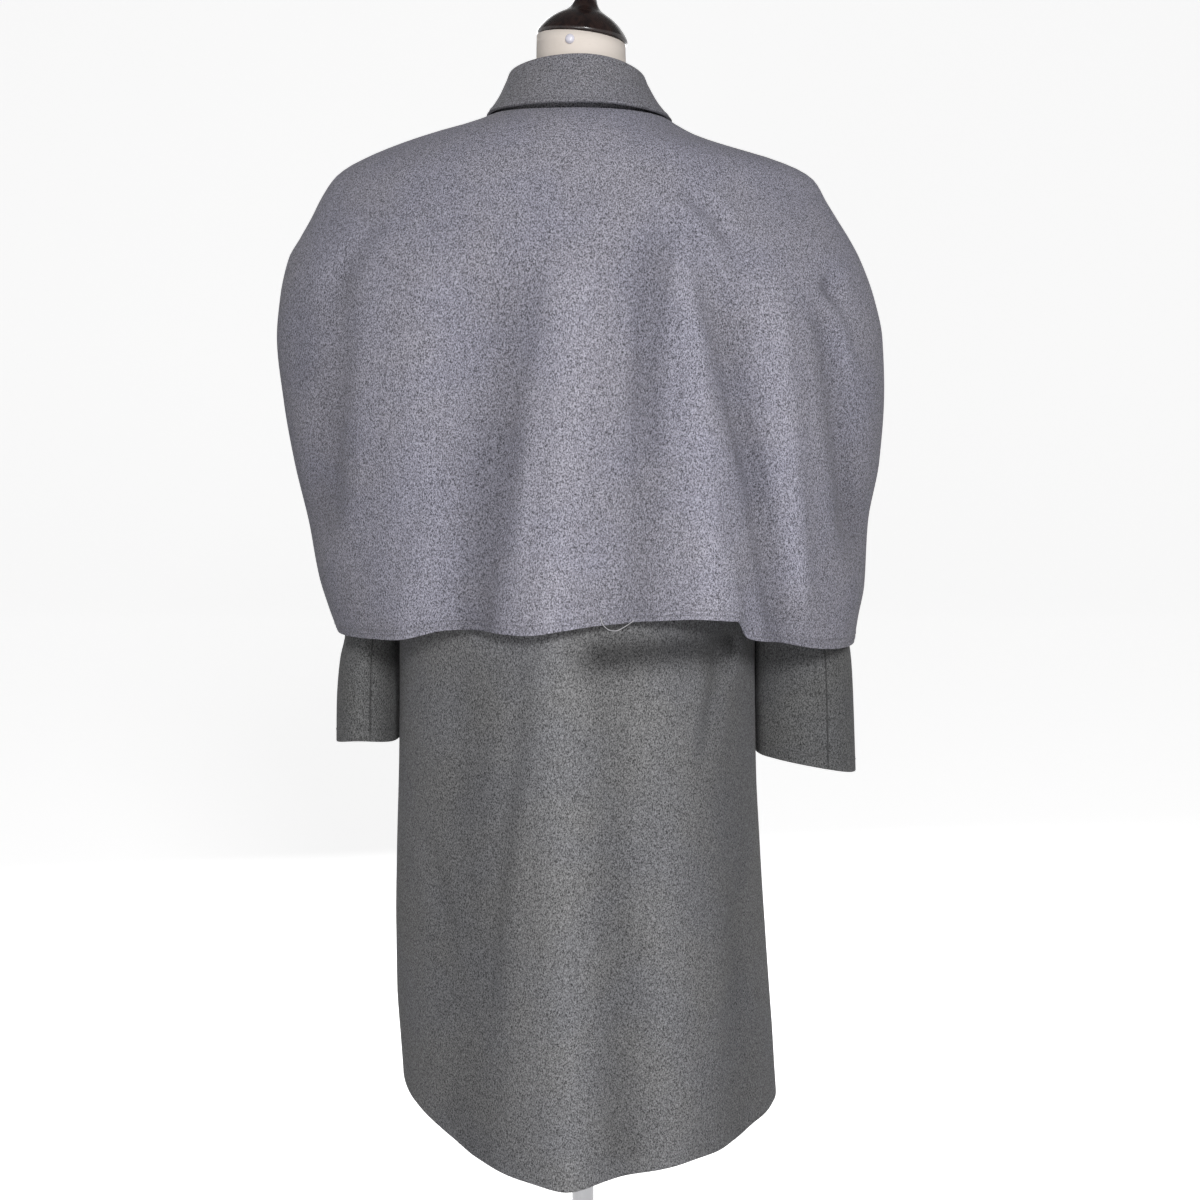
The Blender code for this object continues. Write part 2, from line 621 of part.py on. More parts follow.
cape_wool = material_of("cape_back_wool", WOOL_CAPE, 0.95)
wall("cape_back", cape_back_surface, even(0, 1, 40), cape_levels, cape_wool, trim="ab")
cape_wool = material_of("cape_front_left_wool", WOOL_CAPE, 0.95)
wall("cape_front_left", cape_front_left_surface, even(0, 1, 14), cape_levels, cape_wool, trim="b")
cape_wool = material_of("cape_front_right_wool", WOOL_CAPE, 0.95)
wall("cape_front_right", cape_front_right_surface, even(0, 1, 14), cape_levels, cape_wool, trim="a")

# Collar
stand_table = Table(STAND_RINGS)
leaf_table = Table(LEAF_RINGS)


def collar_point(table, turn, place):
    left, right, back, front, z_back, z_left, z_right, z_front = table.read(place)
    c, s = math.cos(turn), math.sin(turn)
    z_side = z_left if c > 0 else z_right
    z_end = z_back if s > 0 else z_front
    z = z_side * c * c + z_end * s * s
    return np.array([(left if c > 0 else right) * c, (back if s > 0 else front) * s, z])


def stand_surface(turn, place):
    return collar_point(stand_table, turn, place)


def leaf_surface(turn, place):
    return collar_point(leaf_table, turn, place)


def collar_turns(ends, parts):
    return even(math.radians(ends - 90), math.radians(270 - ends), parts)


stand_wool = material_of("collar_stand_wool", WOOL_COAT, 0.95)
wall("collar_stand", stand_surface, collar_turns(STAND_ENDS, 24), even(0, 1, 2), stand_wool)
leaf_wool = material_of("collar_leaf_wool", WOOL_COAT, 0.95)
leaf_places = [0.0, 0.12, 0.24, 0.40, 0.55, 0.70, 0.85, 1.0]
wall("collar_leaf", leaf_surface, collar_turns(LEAF_ENDS, 30), leaf_places, leaf_wool, side=-1)

# Buttons on the left front, at the middle line
button_profile = [
    (0.0, BUTTON_THICK * 0.70),
    (BUTTON_RADIUS * 0.62, BUTTON_THICK * 0.70),
    (BUTTON_RADIUS * 0.72, BUTTON_THICK),
    (BUTTON_RADIUS * 0.90, BUTTON_THICK),
    (BUTTON_RADIUS, BUTTON_THICK * 0.60),
    (BUTTON_RADIUS, BUTTON_THICK * 0.30),
    (BUTTON_RADIUS * 0.90, 0.0),
    (0.0, 0.0),
]
for i in range(BUTTON_COUNT):
    horn = material_of(f"button_{i + 1}_horn", (0.030, 0.028, 0.030), 0.35)
    button = turned(f"button_{i + 1}", button_profile, horn, steps=BUTTON_SIDES)
    z = BUTTON_HIGH - BUTTON_STEP * i
    place = Vector(coat_point(-math.pi / 2, z))
    out = Vector(coat_out(-math.pi / 2, z))
    facing = out.to_track_quat("Z", "Y").to_matrix().to_4x4()
    button.matrix_world = Matrix.Translation(place + out * BUTTON_GAP) @ facing

# Dress form
torso_levels = [0.83, 0.835, 0.845, 0.865, 0.90, 0.98, 1.07, 1.16, 1.25, 1.33, 1.39, 1.425]
torso_levels += [1.443, 1.4524, 1.4609, 1.4719, 1.4804, 1.4895, 1.495, 1.503, 1.515, 1.535, NECK_TOP]
torso_turns = even(0.0, 2 * math.pi, TORSO_SIDES)[:-1]
linen = material_of("form_linen", (0.72, 0.65, 0.59), 0.80)
loft("form_torso", torso_point, torso_turns, torso_levels, linen)

cap_profile = [
    (0.0, 0.0800),
    (0.0060, 0.0792),
    (0.0095, 0.0765),
    (0.0105, 0.0730),
    (0.0105, 0.0380),
    (0.0122, 0.0310),
    (0.0165, 0.0262),
    (0.0260, 0.0220),
    (0.0350, 0.0170),
    (0.0420, 0.0105),
    (0.0465, 0.0035),
    (0.0485, 0.0000),
    (0.0485, -0.0020),
    (0.0465, -0.0035),
    (0.0, -0.0035),
]
stained = material_of("neck_cap_stained_wood", (0.018, 0.010, 0.010), 0.22)
cap = turned("form_neck_cap", cap_profile, stained)
cap.matrix_world = Matrix.Translation(CAP_AT) @ Matrix.Rotation(-CAP_TILT, 4, "Y")

stud_profile = [(0.0, 0.0030), (0.0022, 0.0027), (0.0040, 0.0017), (STUD_RADIUS, 0.0004)]
stud_profile += [(STUD_RADIUS, 0.0), (0.0, 0.0)]
enamel = material_of("neck_stud_enamel", (0.80, 0.80, 0.84), 0.15)
stud = turned("form_neck_stud", stud_profile, enamel, steps=16)
stud_turn = math.acos(STUD_AT[0] / NECK_RADIUS)
stud_seat = Vector(torso_point(stud_turn, STUD_AT[1]))
stud_out = Vector((math.cos(stud_turn), math.sin(stud_turn), 0.0))
facing = stud_out.to_track_quat("Z", "Y").to_matrix().to_4x4()
stud.matrix_world = Matrix.Translation(stud_seat + stud_out * STUD_GAP) @ facing

steel = material_of("pole_steel", (0.55, 0.55, 0.56), 0.30, 1.0)
pole_top, pole_foot = TORSO_BOTTOM - SEAM, BASE_THICK + SEAM
pole_profile = [(0.0, pole_top), (POLE_RADIUS, pole_top), (POLE_RADIUS, pole_foot), (0.0, pole_foot)]
turned("form_pole", pole_profile, steel, steps=24)

base_profile = [
    (0.0, BASE_THICK),
    (BASE_RADIUS - 0.010, BASE_THICK),
    (BASE_RADIUS - 0.003, BASE_THICK - 0.003),
    (BASE_RADIUS, BASE_THICK - 0.009),
    (BASE_RADIUS, 0.0),
    (0.0, 0.0),
]
lacquer = material_of("base_lacquer", (0.020, 0.020, 0.022), 0.40)
turned("form_base", base_profile, lacquer, steps=48)
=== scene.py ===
import math

import bpy
import numpy as np
from mathutils import Matrix, Vector


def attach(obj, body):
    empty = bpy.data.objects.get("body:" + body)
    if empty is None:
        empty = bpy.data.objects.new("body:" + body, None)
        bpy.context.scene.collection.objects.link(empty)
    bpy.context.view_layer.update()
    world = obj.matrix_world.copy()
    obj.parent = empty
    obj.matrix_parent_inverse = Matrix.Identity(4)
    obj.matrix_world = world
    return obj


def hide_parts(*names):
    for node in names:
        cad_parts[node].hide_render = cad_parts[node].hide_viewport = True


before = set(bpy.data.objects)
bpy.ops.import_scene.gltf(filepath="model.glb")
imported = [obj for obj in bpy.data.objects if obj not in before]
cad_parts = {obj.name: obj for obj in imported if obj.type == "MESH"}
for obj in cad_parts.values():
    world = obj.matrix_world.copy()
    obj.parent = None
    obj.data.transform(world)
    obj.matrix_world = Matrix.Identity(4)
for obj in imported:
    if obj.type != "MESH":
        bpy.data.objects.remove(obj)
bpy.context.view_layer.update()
scene = bpy.context.scene
scene.view_settings.view_transform = "Standard"
print("frame loaded:", len(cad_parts), "nodes")

# Camera and studio
camera = {"place": (-0.020, 1.65, 1.20), "pitchDown": 7.65, "lens": 45.0}
studio = {
    "floorColour": (0.90, 0.90, 0.90),
    "floorGlow": 0.75,
    "sky": 0.14,
    "keyPlace": (-0.70, 3.30, 2.35),
    "keyAim": (0.0, 0.15, 1.05),
    "keySize": 0.8,
    "keyPower": 84.0,
    "fillPlace": (0.5, 2.6, 0.9),
    "fillSize": 0.9,
    "fillPower": 18.0,
    "fillAim": (0, 0, 1.0),
    "frontPlace": (0.3, -2.0, 1.5),
    "frontAim": (0, 0, 1.1),
    "frontSize": 1.6,
    "frontPower": 40.0,
}

cameraData = bpy.data.cameras.new("camera")
cameraData.lens = camera["lens"]
cameraData.sensor_width = 36
cameraObject = bpy.data.objects.new("camera", cameraData)
cameraObject.location = camera["place"]
cameraObject.rotation_euler = (math.radians(90 - camera["pitchDown"]), 0, math.pi)
scene.collection.objects.link(cameraObject)
scene.camera = cameraObject


for which in ("key", "fill", "front"):
    place, aim, size, power = (studio[which + what] for what in ("Place", "Aim", "Size", "Power"))
    data = bpy.data.lights.new(which + "Light", "AREA")
    data.shape = "DISK"
    data.size = size
    data.energy = power
    light = bpy.data.objects.new(which + "Light", data)
    light.location = place
    light.rotation_euler = (Vector(aim) - Vector(place)).to_track_quat("-Z", "Y").to_euler()
    light.visible_camera = False
    scene.collection.objects.link(light)
world = bpy.data.worlds.new("softSky")
world.use_nodes = True
sky = world.node_tree.nodes["Background"].inputs
sky["Color"].default_value = (1, 1, 1, 1)
sky["Strength"].default_value = studio["sky"]
scene.world = world


# Shader maths: a wire is a socket that takes part in Python expressions
class Wire:
    def __init__(self, finish, socket):
        self.finish = finish
        self.socket = socket

    def maths(self, operation, first, second):
        return self.finish.add("ShaderNodeMath", {"operation": operation}, {0: first, 1: second})

    def __add__(self, other):
        return self.maths("ADD", self, other)

    def __sub__(self, other):
        return self.maths("SUBTRACT", self, other)

    def __rsub__(self, other):
        return self.maths("SUBTRACT", other, self)

    def __mul__(self, other):
        return self.maths("MULTIPLY", self, other)

    def __abs__(self):
        return self.maths("ABSOLUTE", self, 0.0)

    def sine(self):
        return self.maths("SINE", self, 0.0)

    def turnFrom(self, other):
        return self.maths("ARCTAN2", self, other)

    def most(self, other):
        return self.maths("MAXIMUM", self, other)

    __radd__ = __add__
    __rmul__ = __mul__


class Finish:
    def __init__(self, name):
        self.material = bpy.data.materials.new(name)
        self.material.use_nodes = True
        self.tree = self.material.node_tree
        self.shader = self.tree.nodes["Principled BSDF"]

    def add(self, kind, settings, inputs, output=0):
        node = self.tree.nodes.new(kind)
        for key, value in settings.items():
            setattr(node, key, value)
        for key, value in inputs.items():
            if isinstance(value, Wire):
                self.tree.links.new(value.socket, node.inputs[key])
            else:
                node.inputs[key].default_value = value
        return Wire(self, node.outputs[output])

    def place(self, scale=(1, 1, 1), turn=(0, 0, 0)):
        here = self.add("ShaderNodeTexCoord", {}, {}, "Object")
        return self.add("ShaderNodeMapping", {}, {"Vector": here, "Scale": scale, "Rotation": turn})

    def noise(self, where, scale, detail=2.0, roughness=0.5, distortion=0.0):
        inputs = {"Vector": where, "Scale": scale, "Detail": detail}
        inputs.update({"Roughness": roughness, "Distortion": distortion})
        return self.add("ShaderNodeTexNoise", {}, inputs, "Fac")

    def attribute(self, name):
        return self.add("ShaderNodeAttribute", {"attribute_name": name}, {}, "Fac")

    def between(self, value, low, high, how="SMOOTHSTEP"):
        inputs = {"Value": value, "From Min": low, "From Max": high}
        return self.add("ShaderNodeMapRange", {"interpolation_type": how}, inputs)

    def mix(self, share, first, second, how="MIX"):
        first = (*first, 1) if isinstance(first, tuple) else first
        second = (*second, 1) if isinstance(second, tuple) else second
        settings = {"data_type": "RGBA", "blend_type": how}
        return self.add("ShaderNodeMix", settings, {0: share, 6: first, 7: second}, 2)

    def bump(self, height, strength, distance, before=None):
        inputs = {"Height": height, "Strength": strength, "Distance": distance}
        if before:
            inputs["Normal"] = before
        return self.add("ShaderNodeBump", {}, inputs)

    def set(self, **sockets):
        for name, value in sockets.items():
            socket = self.shader.inputs[name.replace("_", " ")]
            if isinstance(value, Wire):
                self.tree.links.new(value.socket, socket)
            else:
                socket.default_value = value


woolLook = {
    "fleckScale": 860.0,  # flecks of dark and light wool, about 2 mm
    "fineScale": 1900.0,
    "hairScale": 1300.0,
    "cloudScale": 13.0,
    "fleckContrast": 0.80,
    "cooler": (0.955, 0.965, 0.985),  # the two tints that drift over the cloth
    "warmer": (1.02, 1.02, 1.0),
    "nap": 0.55,
    "stitchWidth": 0.0009,
    "seamFrom": 0.0005,  # the dark line along a plain seam
    "seamTo": 0.0016,
    "seamTone": 0.55,
    "deepest": 0.027,
    "highest": 0.014,
    "foldShadeTone": 24.0,  # painted shade and light: how much darker the wool is painted in a fold, and lighter on a ridge, for each metre of its depth
}


# Heather wool: dark and light fibres felted together, with a nap and a groove along the topstitching
def heatherWool(name, colour, stitchLines=()):
    look = woolLook
    wool = Finish(name)
    upright = wool.place(scale=(1.0, 1.0, 0.62))
    across = wool.place(scale=(1.0, 1.0, 2.6), turn=(0.0, 0.5, 0.4))
    fleck = wool.noise(upright, look["fleckScale"], 2.0, 0.62, 0.5)
    fine = wool.noise(upright, look["fineScale"], 2.0, 0.6, 0.2)
    hair = wool.noise(across, look["hairScale"], 1.0, 0.5, 1.2)
    cloud = wool.noise(wool.place(), look["cloudScale"], 2.0, 0.5)
    blend = wool.between(fleck * 0.62 + fine * 0.26 + hair * 0.12, 0.36, 0.64)
    dark = tuple(c * (1 - look["fleckContrast"]) for c in colour)
    light = tuple(min(c * (1 + look["fleckContrast"]), 1) for c in colour)
    mixed = wool.mix(blend, dark, light)
    speck = wool.between(fine, 0.66, 0.76) * 0.35
    mixed = wool.mix(speck, mixed, tuple(min(1.0, c * 2.3) for c in colour))
    warmth = wool.between(cloud, 0.30, 0.70)
    tint = wool.mix(warmth, look["cooler"], look["warmer"])
    mixed = wool.mix(1.0, mixed, tint, "MULTIPLY")
    # Painted shade in the folds and painted light on the ridges: the colour follows their depth
    tone = wool.between(wool.attribute("foldShadeDepth"), -look["deepest"], look["highest"], "LINEAR")
    foldShadeFactor = 1 - look["foldShadeTone"] * look["deepest"]
    ridgeLightFactor = 1 + look["foldShadeTone"] * look["highest"]
    mixed = wool.mix(1.0, mixed, wool.mix(tone, (foldShadeFactor,) * 3, (ridgeLightFactor,) * 3), "MULTIPLY")
    height = fleck * 0.55 + fine * 0.30 + hair * 0.15
    normal = wool.bump(height, look["nap"], 0.0011)
    seam = 1.0 - wool.between(wool.attribute("seamAway"), look["seamFrom"], look["seamTo"])
    mixed = wool.mix(seam * look["seamTone"], mixed, tuple(c * 0.25 for c in colour))
    if stitchLines:
        away = wool.attribute("edgeAway")
        groove = None
        for line in stitchLines:
            trough = 1.0 - wool.between(abs(away - line), 0.0, look["stitchWidth"] * 2)
            groove = trough if groove is None else groove.most(trough)
        swell = wool.between(away, 0.0, stitchLines[0])
        normal = wool.bump(swell * 0.35 - groove * 0.6, 0.8, 0.0010, normal)
        # Painted shade: the colour darkens in the topstitching groove
        mixed = wool.mix(groove * 0.12, mixed, tuple(c * 0.35 for c in colour))
    wool.set(Base_Color=mixed, Normal=normal, Roughness=wool.between(cloud, 0.0, 1.0) * 0.1 + 0.86)
    wool.set(Sheen_Weight=0.05, Sheen_Roughness=0.45, Specular_IOR_Level=0.20)
    return wool.material


# Tables of level sections, read along smooth lines through their rows
class Rows:
    def __init__(self, rows):
        self.places = np.array([row[0] for row in rows])
        self.values = np.array([row[1:] for row in rows])
        rates = np.diff(self.values, axis=0) / np.diff(self.places)[:, None]
        joined = rates[:-1] * rates[1:]
        even = 2 * joined / np.where(joined > 0, rates[:-1] + rates[1:], 1)
        self.slopes = np.vstack([rates[:1], np.where(joined > 0, even, 0), rates[-1:]])

    def at(self, place):
        place = np.clip(place, self.places[0], self.places[-1])
        i = np.clip(np.searchsorted(self.places, place) - 1, 0, len(self.places) - 2)
        step = (self.places[i + 1] - self.places[i])[..., None]
        t = (place[..., None] - self.places[i][..., None]) / step
        low, high = self.values[i], self.values[i + 1]
        start = low + (high - low) * t * t * (3 - 2 * t)
        return start + (self.slopes[i] * t * (1 - t) ** 2 - self.slopes[i + 1] * t * t * (1 - t)) * step


def ease(t):
    t = np.clip(t, 0.0, 1.0)
    return t * t * (3 - 2 * t)


def sectionPoint(row, turn, z):
    c, s = np.cos(turn), np.sin(turn)
    across = np.where(c > 0, row[..., 0], row[..., 1])
    deep = np.where(s > 0, row[..., 2], row[..., 3])
    return np.stack([across * c, deep * s * (1 - row[..., 4] * c * c), z], -1)


def leaned(level, spec, turn):
    c, s = np.cos(turn), np.sin(turn)
    back, right, front = spec["neckDrop"]
    drop = np.where(c > 0, 0.0, right * c * c) + np.where(s > 0, back, front) * s * s
    share = np.clip((level - spec["neckFrom"]) / (spec["neck"] - spec["neckFrom"]), 0, 1)
    return level - drop * share


# Broad folds: xHigh, zHigh, xLow, zLow, width, rise
def folded(folds, x, z, fade=0.070):
    out = np.zeros_like(x)
    for xHigh, zHigh, xLow, zLow, width, rise in folds:
        along = (zHigh - z) / (zHigh - zLow)
        middle = xHigh + (xLow - xHigh) * along
        strength = ease((zHigh - z) / fade) * ease((z - zLow) / fade + 1)
        strength = strength * (0.55 + 0.45 * np.clip(along, 0, 1))
        out += rise * strength * np.exp(-(((x - middle) / width) ** 2))
    return out


# Creases placed along lines of (x, z): each has its own width and depth, and ends softly
def creased(creases, x, z, shadeOnly=False):
    out = np.zeros_like(x)
    for line in creases:
        path = line["path"]
        lengths = np.hypot(*np.diff(path, axis=0).T)
        starts = np.concatenate([[0], np.cumsum(lengths)])
        nearest = np.full(x.shape, 1e9)
        along = np.zeros_like(x)
        for k, length in enumerate(lengths):
            step = path[k + 1] - path[k]
            t = ((x - path[k, 0]) * step[0] + (z - path[k, 1]) * step[1]) / length**2
            t = np.clip(t, 0, 1)
            gap = np.hypot(x - path[k, 0] - t * step[0], z - path[k, 1] - t * step[1])
            closer = gap < nearest
            nearest = np.where(closer, gap, nearest)
            along = np.where(closer, (starts[k] + t * length) / starts[-1], along)
        growth = ease(along / line["fadeIn"]) * ease((1 - along) / line["fadeOut"])
        near = nearest / line["width"]
        shape = np.exp(-(near**2)) - line["lip"] * np.exp(-((near - 1.7) ** 2))
        out += line["rise"] * growth * shape * (line["shade"] if shadeOnly else 1.0)
    return out


# A slow unevenness, so that no stretch of cloth is perfectly smooth
def uneven(x, z, size):
    waves = [(23, 5, 0.3, 1.0), (-31, 9, 1.9, 0.8), (47, 4, 4.1, 0.6)]
    waves += [(13, 17, 2.6, 0.7), (61, -13, 5.2, 0.35)]
    total = sum(k * np.sin(a * x + b * z + c) for a, b, c, k in waves)
    return size * total / 2.2


# One crease: its width, how far it rises or sinks, and its points (x, z); its shade is painted shade,
# counting its depth that many times again in the wool's colour
def crease(width, rise, *path, lip=0.0, fadeIn=0.35, fadeOut=0.35, shade=0.0):
    crest = {"width": width, "rise": rise, "path": np.array(path), "lip": lip}
    return crest | {"fadeIn": fadeIn, "fadeOut": fadeOut, "shade": shade}


coat = {
    "neck": 1.494,
    "hem": 0.400,
    "neckFrom": 1.300,
    "neckDrop": (0.004, 0.0055, 0.042),
    "armpit": 1.240,
    "shoulderTip": 1.4555,
    "frontHem": 0.426,
    "frontSlant": 0.064,
    "hemReach": 0.30,
    "sideSeam": (20.0, 8.0),  # turn of the side seam at the hem and at the armpit
    "armholeBack": 20.0,
    "armholeFront": 27.0,
    "overlap": 0.030,
    "under": (-0.046, -0.034),
    "sections": [  # z, left, right, back, front, pinch
        (0.400, 0.2070, 0.2235, 0.214, 0.206, 0.00),
        (0.440, 0.2090, 0.2205, 0.213, 0.205, 0.00),
        (0.520, 0.2125, 0.2140, 0.210, 0.202, 0.00),
        (0.610, 0.2120, 0.2070, 0.205, 0.197, -0.02),
        (0.700, 0.2090, 0.2005, 0.199, 0.191, -0.04),
        (0.820, 0.2040, 0.1940, 0.190, 0.182, -0.06),
        (0.930, 0.2015, 0.1915, 0.181, 0.173, -0.07),
        (1.060, 0.1990, 0.1905, 0.172, 0.166, -0.07),
        (1.160, 0.1990, 0.1930, 0.168, 0.166, -0.05),
        (1.240, 0.2020, 0.1990, 0.164, 0.163, 0.00),
        (1.320, 0.2060, 0.2040, 0.156, 0.155, 0.06),
        (1.380, 0.2090, 0.2080, 0.147, 0.145, 0.14),
        (1.420, 0.2115, 0.2100, 0.136, 0.134, 0.22),
        (1.4555, 0.2130, 0.1930, 0.117, 0.121, 0.28),
        (1.464, 0.1930, 0.1620, 0.110, 0.115, 0.26),
        (1.475, 0.1560, 0.1260, 0.101, 0.108, 0.18),
        (1.4835, 0.1210, 0.1060, 0.093, 0.101, 0.10),
        (1.494, 0.0860, 0.0840, 0.083, 0.092, 0.00),
    ],
    "hemLine": [  # x, z across the back
        (-0.2240, 0.413), (-0.2130, 0.419), (-0.1930, 0.419), (-0.1650, 0.4130), (-0.1100, 0.4185),
        (-0.0300, 0.4090), (0.0200, 0.4025), (0.0620, 0.4042), (0.1100, 0.4108), (0.1390, 0.4238),
        (0.1615, 0.4340), (0.1825, 0.4400), (0.2070, 0.4405),
    ],
    "backFolds": [
        (0.024, 1.020, 0.010, 0.390, 0.028, 0.010),
        (-0.028, 0.960, -0.045, 0.440, 0.017, -0.008),
        (-0.086, 1.000, -0.094, 0.390, 0.031, 0.007),
        (0.058, 0.990, 0.096, 0.600, 0.014, -0.003),
        (0.106, 0.980, 0.120, 0.390, 0.042, -0.012),
        (0.178, 0.800, 0.128, 0.620, 0.012, 0.002),
        (-0.163, 0.960, -0.175, 0.390, 0.024, -0.008),
    ],
    "frontFolds": [
        (0.085, 0.980, 0.100, 0.390, 0.026, 0.006),
        (0.140, 0.900, 0.155, 0.390, 0.022, -0.005),
        (-0.095, 0.960, -0.120, 0.390, 0.026, 0.005),
        (-0.150, 0.920, -0.165, 0.390, 0.020, -0.004),
    ],
    "backCreases": [
        # Painted shadow of the cape's hem on the coat: this crease sinks the cloth a little, and its shade
        # paints it much darker
        crease(0.018, -0.0090,
            (0.020, 0.941), (-0.050, 0.947), (-0.105, 0.949), (-0.166, 0.941), fadeIn=0.25,
            fadeOut=0.05, shade=2.6,
        ),
        crease(0.042, -0.0036, (0.142, 0.860), (0.138, 0.700), (0.136, 0.540), fadeIn=0.3),
        crease(0.010, -0.0018, (0.052, 0.985), (0.062, 0.860), (0.085, 0.700), (0.100, 0.580), lip=0.35),
        crease(0.011, -0.0045,
            (-0.150, 0.965), (-0.146, 0.925), (-0.136, 0.880), (-0.128, 0.820), lip=0.3, fadeIn=0.1,
        ),
        crease(0.011, -0.0022, (0.176, 0.780), (0.150, 0.700), (0.128, 0.620), lip=0.4),
        crease(0.013, -0.0022, (-0.045, 0.700), (-0.060, 0.600), (-0.074, 0.500), lip=0.3),
        crease(0.016, -0.0022, (0.130, 0.960), (0.118, 0.860), (0.122, 0.740)),
        crease(0.013, -0.0020, (-0.178, 0.760), (-0.166, 0.640), (-0.172, 0.520), lip=0.3),
    ],
    "frontCreases": [
        crease(0.014, -0.0022, (0.060, 0.950), (0.075, 0.800), (0.082, 0.640), lip=0.3),
        crease(0.013, -0.0020, (-0.070, 0.900), (-0.092, 0.760), (-0.098, 0.600), lip=0.3),
        crease(0.012, -0.0020, (0.160, 0.760), (0.148, 0.640), (0.160, 0.500)),
    ],
}
